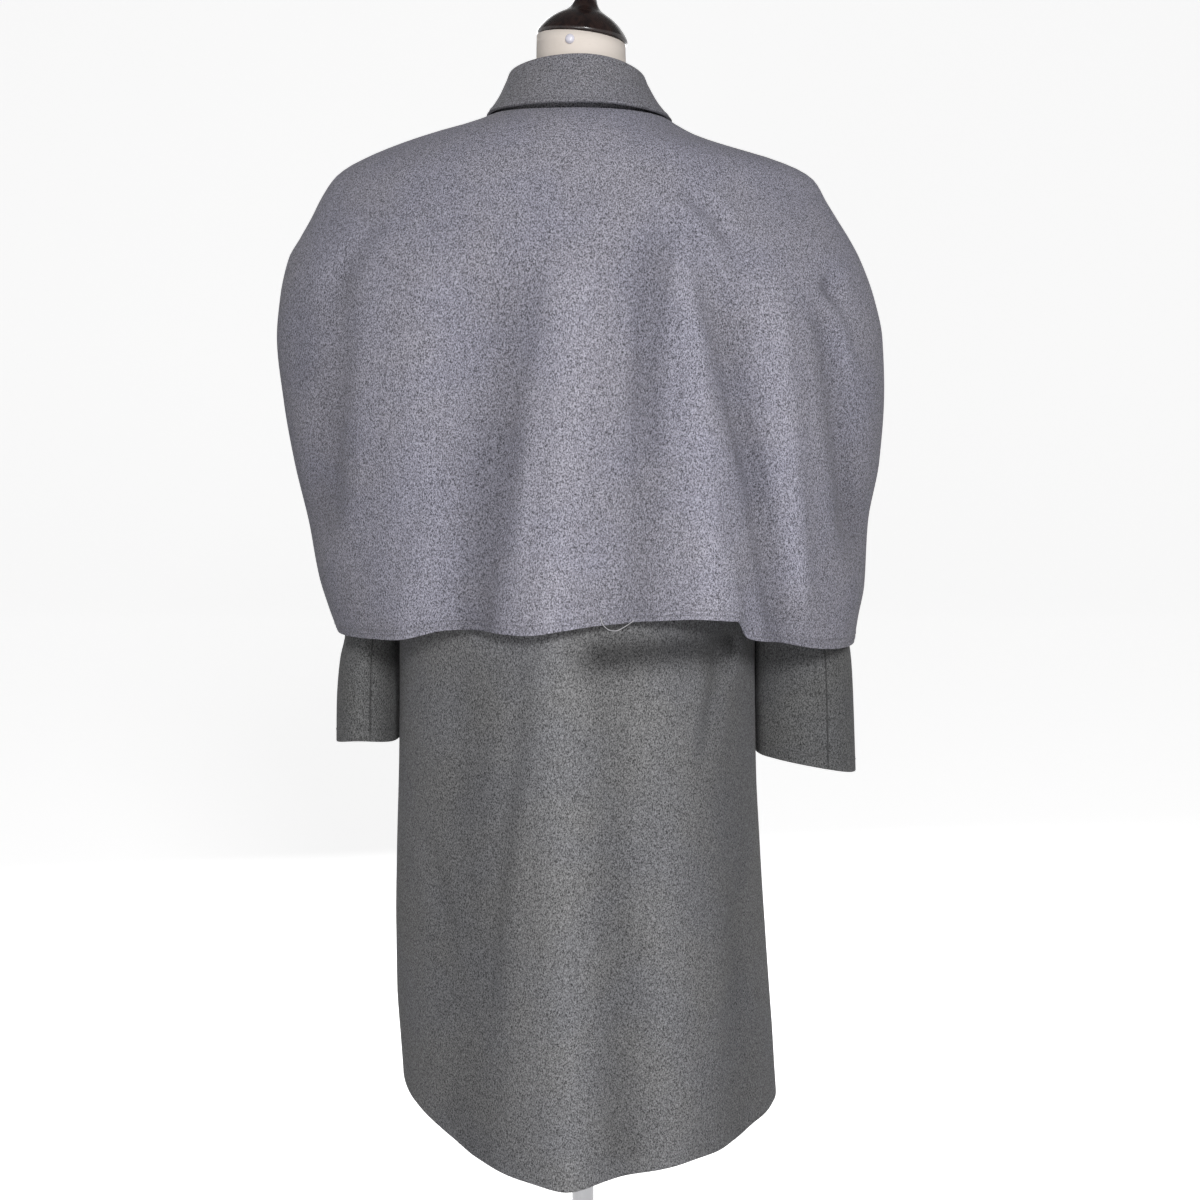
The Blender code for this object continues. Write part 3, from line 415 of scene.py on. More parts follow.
cape = {
    "neck": 1.4945,
    "neckFrom": 1.300,
    "neckDrop": (0.006, 0.0055, 0.042),
    "hem": 0.940,
    "frontHem": 0.942,
    "hemReach": 0.16,
    "openHigh": 0.050,
    "openLow": 0.085,
    "sections": [
        (0.940, 0.2690, 0.3020, 0.2020, 0.210, -0.05),
        (0.970, 0.2790, 0.3060, 0.2010, 0.209, -0.05),
        (1.001, 0.2880, 0.3110, 0.1990, 0.207, -0.05),
        (1.067, 0.2985, 0.3140, 0.1945, 0.203, -0.05),
        (1.133, 0.3120, 0.3250, 0.1900, 0.199, -0.04),
        (1.198, 0.3220, 0.3286, 0.1850, 0.194, -0.02),
        (1.263, 0.3280, 0.3250, 0.1800, 0.188, 0.00),
        (1.3055, 0.3240, 0.3150, 0.1760, 0.183, 0.04),
        (1.348, 0.3140, 0.2990, 0.1700, 0.176, 0.10),
        (1.369, 0.3015, 0.2880, 0.1660, 0.171, 0.15),
        (1.390, 0.2890, 0.2750, 0.1610, 0.166, 0.20),
        (1.411, 0.2780, 0.2620, 0.1550, 0.160, 0.26),
        (1.432, 0.2635, 0.2500, 0.1470, 0.153, 0.31),
        (1.441, 0.2525, 0.2390, 0.1430, 0.149, 0.33),
        (1.4545, 0.2260, 0.2080, 0.1360, 0.142, 0.33),
        (1.467, 0.1930, 0.1630, 0.1280, 0.134, 0.28),
        (1.478, 0.1560, 0.1270, 0.1190, 0.126, 0.20),
        (1.4865, 0.1210, 0.1090, 0.1100, 0.118, 0.10),
        (1.4945, 0.0980, 0.0955, 0.0990, 0.109, 0.00),
    ],
    "hemLine": [
        (-0.310, 0.935), (-0.261, 0.941), (-0.200, 0.955), (-0.169, 0.962), (-0.155, 0.981),
        (-0.118, 0.9845), (-0.032, 0.9810), (0.019, 0.9756), (0.058, 0.9700), (0.130, 0.9710),
        (0.187, 0.9580), (0.255, 0.9505), (0.280, 0.9480),
    ],
    "backFolds": [
        (-0.001, 1.360, 0.027, 0.930, 0.030, 0.012),
        (0.063, 1.350, 0.110, 0.930, 0.021, -0.013),
        (0.146, 1.380, 0.176, 0.930, 0.032, 0.006),
        (0.235, 1.370, 0.265, 1.100, 0.021, -0.010),
        (-0.068, 1.400, -0.060, 0.960, 0.017, -0.008),
        (-0.103, 1.370, -0.135, 0.930, 0.020, 0.011),
        (-0.138, 1.330, -0.203, 0.970, 0.016, -0.013),
        (-0.188, 1.350, -0.218, 1.020, 0.019, 0.010),
        (-0.240, 1.330, -0.282, 1.080, 0.016, -0.011),
    ],
    "frontFolds": [
        (0.110, 1.340, 0.125, 0.930, 0.022, 0.006),
        (0.165, 1.320, 0.190, 0.930, 0.020, -0.006),
        (0.215, 1.340, 0.250, 1.000, 0.022, 0.005),
        (-0.105, 1.350, -0.130, 0.930, 0.020, 0.006),
        (-0.160, 1.330, -0.195, 0.930, 0.020, -0.006),
        (-0.210, 1.320, -0.255, 0.990, 0.022, 0.005),
    ],
    "backCreases": [
        crease(0.012, -0.0042,
            (-0.088, 1.385), (-0.071, 1.300), (-0.064, 1.200), (-0.066, 1.110), lip=0.25, fadeIn=0.12,
        ),
        crease(0.034, -0.0052, (0.096, 1.220), (0.104, 1.080), (0.112, 0.940), fadeOut=0.02),
        crease(0.030, -0.0046, (-0.118, 1.480), (-0.160, 1.450), (-0.200, 1.405), fadeOut=0.3),
        crease(0.026, -0.0030, (0.285, 1.330), (0.292, 1.250), (0.285, 1.170)),
        crease(0.012, -0.0040,
            (-0.112, 1.360), (-0.131, 1.275), (-0.150, 1.195), (-0.178, 1.105), (-0.195, 1.040),
            lip=0.3, fadeIn=0.2,
        ),
        crease(0.014, -0.0034,
            (0.034, 1.360), (0.052, 1.270), (0.068, 1.190), (0.090, 1.080), lip=0.2, fadeIn=0.25,
        ),
        crease(0.009, -0.0042, (-0.088, 1.412), (-0.131, 1.382), (-0.160, 1.330), lip=0.45),
        crease(0.010, -0.0032, (0.012, 1.392), (-0.030, 1.402), (-0.070, 1.413), lip=0.4),
        crease(0.009, 0.0036, (-0.236, 1.318), (-0.262, 1.270), (-0.282, 1.215), lip=0.5),
        crease(0.011, -0.0080, (-0.246, 1.326), (-0.256, 1.310), (-0.268, 1.296), lip=0.2),
        crease(0.012, -0.0022, (0.190, 1.395), (0.235, 1.330), (0.270, 1.270), lip=0.4),
        crease(0.009, 0.0018, (0.040, 1.200), (0.052, 1.120), (0.064, 1.020), lip=0.4),
        crease(0.009, 0.0016, (-0.084, 1.230), (-0.086, 1.130), (-0.092, 1.030), lip=0.4),
        crease(0.016, -0.0018, (-0.012, 1.160), (0.004, 1.080), (0.010, 1.000)),
        crease(0.010, 0.0030, (-0.150, 1.060), (-0.152, 1.010), (-0.158, 0.965), lip=0.4, fadeOut=0.05),
        crease(0.012, -0.0030, (-0.060, 1.008), (-0.010, 1.002), (0.050, 0.998)),
        crease(0.014, -0.0020, (0.150, 1.150), (0.176, 1.060), (0.196, 0.980), lip=0.3),
    ],
    "frontCreases": [
        crease(0.010, -0.0022, (0.120, 1.400), (0.150, 1.330), (0.168, 1.240), lip=0.4),
        crease(0.010, -0.0022, (-0.118, 1.396), (-0.146, 1.330), (-0.160, 1.250), lip=0.4),
        crease(0.013, -0.0024, (0.190, 1.180), (0.212, 1.080), (0.224, 0.990), lip=0.3),
        crease(0.013, -0.0024, (-0.186, 1.200), (-0.214, 1.090), (-0.226, 1.000), lip=0.3),
    ],
}
coatRows, coatHemRows = Rows(coat["sections"]), Rows(coat["hemLine"])
capeRows, capeHemRows = Rows(cape["sections"]), Rows(cape["hemLine"])


# The depth that the wool's painted fold shade follows: the broad folds, and again each crease that has a
# shade
def foldShadeDepth(grid, spec):
    x, y, z = np.moveaxis(grid, -1, 0)
    back, front = folded(spec["backFolds"], x, z), folded(spec["frontFolds"], x, z)
    shaded = [line for line in spec["backCreases"] if line["shade"]]
    back = back + creased(shaded, x, z, True)
    return back * ease(y / 0.06) + front * ease(-y / 0.06)


def withFolds(point, turn, spec):
    s = np.sin(turn)
    x, z = point[..., 0], point[..., 2]
    out = folded(spec["backFolds"], x, z) * ease(s / 0.35)
    out += folded(spec["frontFolds"], x, z) * ease(-s / 0.35)
    return point + out[..., None] * np.stack([np.cos(turn), s, np.zeros_like(s)], -1)


def coatPoint(turn, level):
    point = sectionPoint(coatRows.at(level), turn, leaned(level, coat, turn))
    point = withFolds(point, turn, coat)
    back = ease((np.sin(turn) + 0.3) / 0.5)
    front = coat["frontHem"] + coat["frontSlant"] * point[..., 0]
    hem = coatHemRows.at(point[..., 0])[..., 0] * back + front * (1 - back)
    low = 1 - ease((level - coat["hem"]) / coat["hemReach"])
    point[..., 2] += (hem - coat["hem"]) * low
    return point


def capePoint(turn, level):
    point = sectionPoint(capeRows.at(level), turn, leaned(level, cape, turn))
    point = withFolds(point, turn, cape)
    back = ease((np.sin(turn) + 0.1) / 0.3)
    hem = capeHemRows.at(point[..., 0])[..., 0] * back + cape["frontHem"] * (1 - back)
    low = 1 - ease((level - cape["hem"]) / cape["hemReach"])
    point[..., 2] += (hem - cape["hem"]) * low
    return point


def coatOut(turn, level):
    low = np.minimum(level, coat["neck"] - 2e-4)
    high = np.minimum(level + 2e-4, coat["neck"])
    across = coatPoint(turn + 1e-3, level) - coatPoint(turn - 1e-3, level)
    out = np.cross(across, coatPoint(turn, high) - coatPoint(turn, low))
    return out / np.linalg.norm(out, axis=-1, keepdims=True)


# Turns of a coat panel's back and front edges: side seam, then armhole, then shoulder
def panelEdges(level):
    t = np.clip((level - coat["armpit"]) / (coat["shoulderTip"] - coat["armpit"]), 0, 1)
    share = (level - coat["hem"]) / (coat["armpit"] - coat["hem"])
    low, high = coat["sideSeam"]
    side = np.where(level <= coat["armpit"], low + (high - low) * share, high * (1 - t))
    bow = np.sqrt(np.clip(np.sin(math.pi * t), 0, 1))
    return np.radians(side + coat["armholeBack"] * bow), np.radians(side - coat["armholeFront"] * bow)


def coatBackGrid(u, level):
    edge = panelEdges(level)[0]
    return coatPoint(edge + (math.pi - 2 * edge) * u, level)


def xTurn(x, level):
    row = coatRows.at(level)
    return -math.pi / 2 + np.arcsin(x / (row[..., 0] if x > 0 else row[..., 1]))


# Turn at a place counted along several marks
def alongMarks(u, marks):
    turn = marks[0].copy()
    for k in range(len(marks) - 1):
        turn += (marks[k + 1] - marks[k]) * np.clip(u - k, 0, 1)
    return turn


def coatFrontLeftGrid(u, level):
    marks = [xTurn(-coat["overlap"], level), xTurn(0.0, level), xTurn(coat["overlap"], level)]
    return coatPoint(alongMarks(u, marks + [panelEdges(level)[1]]), level)


def coatFrontRightGrid(u, level):
    marks = [-math.pi - panelEdges(level)[1]]
    marks += [xTurn(x, level) for x in (*coat["under"], 0.0, coat["overlap"])]
    turn = alongMarks(u, marks)
    depth = (clothThick + 0.0004) * ease(u - 1)
    return coatPoint(turn, level) - depth[..., None] * coatOut(turn, level)


def capeSeam(level):
    return math.radians(-6.0) * (1 - ease((level - 1.30) / 0.13))


def capeOpen(level, across):
    share = (cape["neck"] - level) / (cape["neck"] - cape["hem"])
    return np.arcsin((cape["openHigh"] + (cape["openLow"] - cape["openHigh"]) * ease(share)) / across)


def capeBackGrid(u, level):
    edge = capeSeam(level)
    return capePoint(edge + (math.pi - 2 * edge) * u, level)


def capeFrontLeftGrid(u, level):
    start = -math.pi / 2 + capeOpen(level, capeRows.at(level)[..., 0])
    return capePoint(start + (capeSeam(level) - start) * u, level)


def capeFrontRightGrid(u, level):
    start = math.pi - capeSeam(level)
    end = 1.5 * math.pi - capeOpen(level, capeRows.at(level)[..., 1])
    return capePoint(start + (end - start) * u, level)


# Sleeves: each row of the arm has z, near, far, centre and half its depth
sleeves = {
    "left": {
        "side": 1,
        "seams": (108, 252),
        "cuffRise": 0.0,
        "arm": [
            (0.822, 0.2055, 0.2755, -0.006, 0.067),
            (0.870, 0.2045, 0.2735, -0.005, 0.066),
            (0.915, 0.2038, 0.2685, -0.004, 0.066),
            (0.945, 0.2035, 0.2622, -0.004, 0.066),
            (1.060, 0.2040, 0.2740, -0.004, 0.072),
            (1.190, 0.2090, 0.2830, -0.004, 0.077),
        ],
    },
    "right": {
        "side": -1,
        "seams": (72, 252),
        "cuffRise": 0.021,
        "arm": [
            (0.785, 0.1972, 0.3090, -0.010, 0.057),
            (0.870, 0.1948, 0.3040, -0.009, 0.060),
            (0.915, 0.1938, 0.3000, -0.008, 0.062),
            (0.945, 0.1936, 0.2955, -0.008, 0.064),
            (1.060, 0.1960, 0.2880, -0.006, 0.070),
            (1.190, 0.2060, 0.2840, -0.004, 0.076),
        ],
    },
}
sleeveHead = {"share": 6 / 13, "gap": 0.0007, "fall": 0.016, "cuffBackRise": 0.010}


def sleevePoint(cut, turn, place):
    c, s = np.cos(turn), np.sin(turn)
    level = coat["armpit"] + (coat["shoulderTip"] - coat["armpit"]) * (1 + c) / 2
    level = np.clip(level, coat["armpit"] + 1e-6, coat["shoulderTip"] - 1e-6)
    backEdge, frontEdge = panelEdges(level)
    edge = np.where(s > 0, backEdge, frontEdge)
    hole = coatPoint(edge if cut["side"] > 0 else math.pi - edge, level)
    hole[..., 0] += cut["side"] * sleeveHead["gap"]
    top, cuff, share = cut["arm"][-1][0], cut["arm"][0][0], sleeveHead["share"]
    z = np.where(place <= share, top, top + (cuff - top) * (place - share) / (1 - share))
    near, far, centre, half = np.moveaxis(Rows(cut["arm"]).at(z), -1, 0)
    across = (near + far) / 2 + (far - near) / 2 * c
    lift = cut["cuffRise"] * ((1 - c) / 2) ** 2 + sleeveHead["cuffBackRise"] * np.maximum(s, 0) ** 2
    lift = lift * ease((top - z) / (top - cuff))
    ring = np.stack([cut["side"] * across, centre + half * s, z + lift], -1)
    bendZ = np.maximum(hole[..., 2] - sleeveHead["fall"], top + 0.01)
    bend = np.stack([ring[..., 0], ring[..., 1], bendZ], -1)
    t = np.clip(place / share, 0, 1)[..., None]
    head = hole * (1 - t) ** 2 + bend * 2 * t * (1 - t) + ring * t * t
    return np.where((place > share)[..., None], ring, head)


# Collar, as rings from the seam with the coat to the leaf's free edge
collar = {
    "standEnds": 26.0,
    "leafEnds": 20.0,
    "standRings": [  # at, left, right, back, front, zBack, zLeft, zRight, zFront
        (0.0, 0.0875, 0.0845, 0.0845, 0.0935, 1.4910, 1.4955, 1.4898, 1.4540),
        (0.5, 0.0790, 0.0720, 0.0780, 0.0860, 1.5160, 1.5160, 1.5110, 1.4730),
        (1.0, 0.0715, 0.0630, 0.0705, 0.0800, 1.5385, 1.5330, 1.5290, 1.4900),
    ],
    "leafRings": [
        (0.00, 0.0713, 0.0628, 0.0703, 0.0798, 1.5391, 1.5336, 1.5296, 1.4906),
        (0.12, 0.0718, 0.0633, 0.0708, 0.0806, 1.5440, 1.5385, 1.5345, 1.4955),
        (0.24, 0.0752, 0.0667, 0.0745, 0.0850, 1.5458, 1.5400, 1.5360, 1.4965),
        (0.40, 0.0795, 0.0712, 0.0800, 0.0925, 1.5380, 1.5310, 1.5270, 1.4850),
        (0.70, 0.0885, 0.0825, 0.0930, 0.1120, 1.5150, 1.5130, 1.5075, 1.4650),
        (1.00, 0.1000, 0.0965, 0.1060, 0.1310, 1.4935, 1.4968, 1.4912, 1.4410),
    ],
}
standRows, leafRows = Rows(collar["standRings"]), Rows(collar["leafRings"])


def collarPoint(rows, turn, place):
    left, right, back, front, zBack, zLeft, zRight, zFront = np.moveaxis(rows.at(place), -1, 0)
    c, s = np.cos(turn), np.sin(turn)
    zSide, zEnd = np.where(c > 0, zLeft, zRight), np.where(s > 0, zBack, zFront)
    x, y = np.where(c > 0, left, right) * c, np.where(s > 0, back, front) * s
    return np.stack([x, y, zSide * c * c + zEnd * s * s], -1)


# Cloth pieces: a fine grid over the surface, moved out by its creases, then given a wall and soft edges
clothThick = 0.0025
edgeSoft = 0.0009
clothGrids = {}


def spread(start, end, count, edge=0.0014):
    inner = np.linspace(0, 1, count + 1)
    share = min(edge / abs(end - start), 0.2 / count) if edge else 0
    places = np.concatenate([[0, share], inner[1:-1], [1 - share, 1]]) if share else inner
    return start + (end - start) * places


def normalsOf(grid, side):
    across, down = np.gradient(grid, axis=1), np.gradient(grid, axis=0)
    normal = np.cross(across, down) * side
    return normal / np.linalg.norm(normal, axis=-1, keepdims=True)


def selectOnly(thing):
    for other in bpy.context.selected_objects:
        other.select_set(False)
    thing.select_set(True)
    bpy.context.view_layer.objects.active = thing


def applyModifiers(thing):
    selectOnly(thing)
    for modifier in list(thing.modifiers):
        bpy.ops.object.modifier_apply(modifier=modifier.name)


def rounded(thing, levels):
    rounding = thing.modifiers.new("rounding", "SUBSURF")
    rounding.levels = rounding.render_levels = levels
    applyModifiers(thing)


# Ends edit mode with every face of the open mesh turned outwards
def faceOutwards():
    bpy.ops.mesh.select_all(action="SELECT")
    bpy.ops.mesh.normals_make_consistent(inside=False)
    bpy.ops.object.mode_set(mode="OBJECT")


def clothPiece(name, surface, us, vs, side, relief, material, stitched="", folds=None, seamed=""):
    u, v = np.meshgrid(us, vs)
    grid = surface(u, v)
    normal = normalsOf(grid, side)
    depth = relief(grid)
    grid = grid + normal * depth[..., None]
    normal = normalsOf(grid, side)
    depth = depth + (foldShadeDepth(grid, folds) if folds else 0)
    rows, columns = grid.shape[:2]
    down = np.linalg.norm(np.diff(grid, axis=0), axis=-1)
    across = np.linalg.norm(np.diff(grid, axis=1), axis=-1)
    fromFirstRow = np.vstack([np.zeros((1, columns)), np.cumsum(down, 0)])
    fromFirstColumn = np.hstack([np.zeros((rows, 1)), np.cumsum(across, 1)])
    sides = {
        "v0": fromFirstRow,
        "v1": fromFirstRow[-1:] - fromFirstRow,
        "u0": fromFirstColumn,
        "u1": fromFirstColumn[:, -1:] - fromFirstColumn,
    }
    farAway = np.full((rows, columns), 1.0)
    marks = {"foldShadeDepth": depth}  # the depth of folds and creases at each point, which the wool's material paints as shade in hollows and light on ridges
    for mark, edges in {"edgeAway": stitched, "seamAway": seamed}.items():
        marks[mark] = np.minimum.reduce([farAway] + [sides[which] for which in edges.split()])
    data = bpy.data.meshes.new(name)
    at = np.arange(rows * columns).reshape(rows, columns)
    a, b, c, d = at[:-1, :-1], at[:-1, 1:], at[1:, 1:], at[1:, :-1]
    quads = np.stack([a, b, c, d] if side > 0 else [d, c, b, a], -1).reshape(-1, 4)
    data.from_pydata(grid.reshape(-1, 3).tolist(), [], quads.tolist())
    for mark, values in marks.items():
        data.attributes.new(mark, "FLOAT", "POINT").data.foreach_set("value", values.reshape(-1))
    data.materials.append(material)
    data.polygons.foreach_set("use_smooth", [True] * len(data.polygons))
    piece = bpy.data.objects.new(name, data)
    scene.collection.objects.link(piece)
    wall = piece.modifiers.new("wall", "SOLIDIFY")
    wall.thickness = clothThick
    wall.offset = -1
    wall.use_even_offset = True
    soft = piece.modifiers.new("softEdge", "BEVEL")
    soft.width = edgeSoft
    soft.segments = 2
    soft.limit_method = "ANGLE"
    soft.angle_limit = math.radians(55)
    applyModifiers(piece)
    clothGrids[name] = {"grid": grid, "normal": normal, "sides": sides, "stitched": stitched.split()}
    cloth = 0.25 * ((down[:, 1:] + down[:, :-1]) * (across[1:] + across[:-1])).sum()
    print(name, "area", round(float(cloth), 4), "rows", rows, "columns", columns)
    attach(piece, "root")
    return piece


def capeRelief(grid):
    x, y, z = np.moveaxis(grid, -1, 0)
    back, front = ease(y / 0.06), ease(-y / 0.06)
    free = ease((1.395 - z) / 0.10)  # the cape rests on the shoulders above this
    out = creased(cape["backCreases"], x, z) * back + creased(cape["frontCreases"], x, z) * front
    out += uneven(x, z, 0.0011) * free
    low = ease((1.00 - z) / 0.05)
    out += low * 0.0009 * np.sin(70 * x + 18 * y)
    return np.where(z > 1.40, np.maximum(out, -0.0003), out)


def coatRelief(grid):
    x, y, z = np.moveaxis(grid, -1, 0)
    back, front = ease(y / 0.06), ease(-y / 0.06)
    shown = ease((1.02 - z) / 0.10)
    out = creased(coat["backCreases"], x, z) * back + creased(coat["frontCreases"], x, z) * front
    underButtons = 0.8 * ease((0.06 - abs(x)) / 0.03) * (y < 0)
    besideSleeves = 0.85 * ease((0.10 - abs(y)) / 0.05) * ease((z - 0.76) / 0.05)
    out += uneven(x + 0.7, z, 0.0011) * (1 - np.maximum(underButtons, besideSleeves))
    out += 0.0007 * ease((0.50 - z) / 0.06) * np.sin(62 * x - 25 * y)
    return out * shown


def sleeveRelief(grid):
    x, y, z = np.moveaxis(grid, -1, 0)
    bend = sum(
        depth * np.exp(-(((z - height - slope * y) / 0.010) ** 2))
        for height, slope, depth in [(1.030, 0.5, -0.0016), (1.058, 0.3, 0.0014), (1.092, -0.4, -0.0015)]
    )
    beside = ease((0.212 - abs(x)) / 0.012) * ease((1.02 - z) / 0.06) * (x < 0)  # rests by the coat's side
    return bend + uneven(x * 2 + y, z * 2, 0.0005) * ease((1.15 - z) / 0.1) * (1 - beside) + 0.0013 * beside


def collarRelief(grid):
    x, y, z = np.moveaxis(grid, -1, 0)
    return uneven(x * 2.2, y * 2 + z, 0.0004) * ease((1.535 - z) / 0.03)


# Colour of each piece's wool, and how far from the edge its topstitching runs. The pieces are one wool,
# painted lighter and bluer on the cape, darker on the collar, darker again on the coat and darkest on the
# sleeves: painted light and shade for how each piece is lit
litAndShadedWools = {
    "cape": ((0.246, 0.240, 0.284), (0.0046, 0.0092)),
    "coat": ((0.166, 0.165, 0.171), (0.0080,)),
    "sleeve": ((0.116, 0.116, 0.118), (0.0130,)),
    "collar": ((0.196, 0.192, 0.213), (0.0052,)),
}
woolFinish = {name: heatherWool(name + "Wool", *values) for name, values in litAndShadedWools.items()}

# How finely each piece is divided: steps across, or the height of one step down
fineness = {
    "capeBack": 320,
    "capeFront": 120,
    "capeLevel": 0.0055,
    "coatBack": 170,
    "coatLevel": 0.0070,
    "sleeveTurn": 3.6,
    "sleevePlace": 100,
    "standTurn": 140,
    "standPlace": 10,
    "leafTurn": 160,
}


def levelsOf(low, high, step, extra=0.0014):
    inner = np.linspace(low, high, max(2, round((high - low) / step)) + 1)
    return np.concatenate([[low, low + extra], inner[1:-1], [high - extra, high]])


capeLevels = levelsOf(cape["hem"], cape["neck"], fineness["capeLevel"])
coatLevels = levelsOf(coat["hem"], coat["neck"], fineness["coatLevel"])

capePlan = {  # piece: surface, places across, topstitched sides
    "capeBack": (capeBackGrid, spread(0.00014, 0.99986, fineness["capeBack"]), "v0"),
    "capeFrontLeft": (capeFrontLeftGrid, spread(0, 0.9996, fineness["capeFront"]), "v0 u0"),
    "capeFrontRight": (capeFrontRightGrid, spread(0.0004, 1, fineness["capeFront"]), "v0 u1"),
}
for name, (surface, places, stitched) in capePlan.items():
    wool = woolFinish["cape"]
    clothPiece(name, surface, places, capeLevels, 1, capeRelief, wool, stitched, cape)
print("cape made")
leftPlaces = [[0, 0.05], np.linspace(0, 2, 17)[1:], np.linspace(2, 3, 91)[1:-1], [2.996, 2.9995]]
rightPlaces = [[0.0005, 0.004], np.linspace(0, 1, 91)[1:], np.linspace(1, 4, 25)[1:-1], [3.95, 4]]
coatPlan = {
    "coatBack": (coatBackGrid, spread(0.00025, 0.99975, fineness["coatBack"]), ""),
    "coatFrontLeft": (coatFrontLeftGrid, np.concatenate(leftPlaces), "u0"),
    "coatFrontRight": (coatFrontRightGrid, np.concatenate(rightPlaces), "u1"),
}
for name, (surface, places, stitched) in coatPlan.items():
    wool = woolFinish["coat"]
    clothPiece(name, surface, places, coatLevels, 1, coatRelief, wool, stitched, coat)
print("coat made")
for hand, cut in sleeves.items():
    backSeam, frontSeam = cut["seams"]
    for part, (start, end) in {"Top": (frontSeam - 360, backSeam), "Under": (backSeam, frontSeam)}.items():
        name = "sleeve" + part + hand.capitalize()
        steps = round((end - start) / fineness["sleeveTurn"])
        turns = np.radians(spread(start + 0.12, end - 0.12, steps, 0.8))
        places = spread(0, 1, fineness["sleevePlace"], 0.002)
        clothPiece(
            name,
            lambda turn, place, cut=cut: sleevePoint(cut, turn, place),
            turns,
            places,
            -cut["side"],
            sleeveRelief,
            woolFinish["sleeve"],
            "v1",
            seamed="u0 u1",
        )
print("sleeves made")
ends = collar["standEnds"], collar["leafEnds"]
standTurns, leafTurns = (
    np.radians(spread(end - 90, 270 - end, count, 0.5))
    for end, count in zip(ends, (fineness["standTurn"], fineness["leafTurn"]))
)
standPlaces = spread(0, 1, fineness["standPlace"], 0.02)
leafPlaces = np.concatenate([np.linspace(0, 0.4, 15), np.linspace(0.4, 1, 16)[1:-1], [0.985, 1.0]])
collarPlan = {  # piece: rings, turns, places, which way is out, topstitched sides
    "collarStand": (standRows, standTurns, standPlaces, 1, ""),
    "collarLeaf": (leafRows, leafTurns, leafPlaces, -1, "v1 u0 u1"),
}
for name, (rings, turns, places, side, stitched) in collarPlan.items():
    clothPiece(
        name,
        lambda turn, place, rings=rings: collarPoint(rings, turn, place),
        turns,
        places,
        side,
        collarRelief,
        woolFinish["collar"],
        stitched,
    )
print("collar made")


# Threads: each path becomes a thin tube with closed ends, and the tubes of a piece are one joined mesh
def threadPiece(name, blocks, radius, material, sides=5):
    points, faces, first = [], [], 0
    turns = np.arange(sides) * 2 * math.pi / sides
    for paths in blocks:
        paths = np.asarray(paths, float)
        count, steps = paths.shape[:2]
        along = np.gradient(paths, axis=1)
        along /= np.linalg.norm(along, axis=-1, keepdims=True)
        aside = np.cross(along, (0.31, 0.22, 0.93))
        aside /= np.linalg.norm(aside, axis=-1, keepdims=True)
        above = np.cross(along, aside)
        size = np.full(steps, radius)
        size[[0, -1]] *= 0.55
        ring = aside[:, :, None] * np.cos(turns)[:, None] + above[:, :, None] * np.sin(turns)[:, None]
        rings = paths[:, :, None] + ring * size[:, None, None]
        at = first + np.arange(count * steps * sides).reshape(count, steps, sides)
        nextAt = np.roll(at, -1, axis=2)
        walls = np.stack([at[:, :-1], at[:, 1:], nextAt[:, 1:], nextAt[:, :-1]], -1).reshape(-1, 4)
        faces += walls.tolist() + at[:, 0].tolist() + at[:, -1, ::-1].tolist()
        points.append(rings.reshape(-1, 3))
        first += count * steps * sides
    data = bpy.data.meshes.new(name)
    data.from_pydata(np.concatenate(points).tolist(), [], faces)
    data.polygons.foreach_set("use_smooth", [True] * len(data.polygons))
    data.materials.append(material)
    thread = bpy.data.objects.new(name, data)
    scene.collection.objects.link(thread)
    selectOnly(thread)
    bpy.ops.object.mode_set(mode="EDIT")
    faceOutwards()
    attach(thread, "root")
    return thread


sewing = {
    "stitch": 0.0027,  # length of one stitch, and the space to the next
    "space": 0.0009,
    "thread": 0.00032,
    "rise": 0.00018,
    "capeThread": (0.250, 0.246, 0.270),
    "coatThread": (0.150, 0.150, 0.153),
    "looseColour": (0.62, 0.61, 0.64),
    "looseRadius": 0.00038,
    "looseRise": 0.0012,
    "looseSteps": 26,
    "looseThread": [
        (-0.0205, 0.2150, 0.9890),
        (-0.0222, 0.2170, 0.9815),
        (-0.0285, 0.2182, 0.9755),
        (-0.0365, 0.2180, 0.9745),
        (-0.0455, 0.2160, 0.9790),
        (-0.0540, 0.2120, 0.9845),
    ],
}


# Points and outward directions along a line at one distance from an edge of a cloth piece
def lineAt(pieceName, side, distance):
    cloth = clothGrids[pieceName]
    grid, normal = cloth["grid"], cloth["normal"]
    aways = {which: cloth["sides"][which] for which in {side, *cloth["stitched"]}}
    if side[0] == "u":
        grid, normal = grid.transpose(1, 0, 2), normal.transpose(1, 0, 2)
        aways = {which: away.T for which, away in aways.items()}
    if side[1] == "1":
        grid, normal = grid[::-1], normal[::-1]
        aways = {which: away[::-1] for which, away in aways.items()}
    away = aways.pop(side)
    column = np.arange(away.shape[1])
    row = np.clip((away < distance).sum(0) - 1, 0, away.shape[0] - 2)
    t = ((distance - away[row, column]) / (away[row + 1, column] - away[row, column]))[:, None]
    points = grid[row, column] * (1 - t) + grid[row + 1, column] * t
    outs = normal[row, column] * (1 - t) + normal[row + 1, column] * t
    inside = np.ones(len(points), bool)
    for other in aways.values():
        inside &= other[row, column] >= distance * 0.97
    return points[inside], outs[inside]


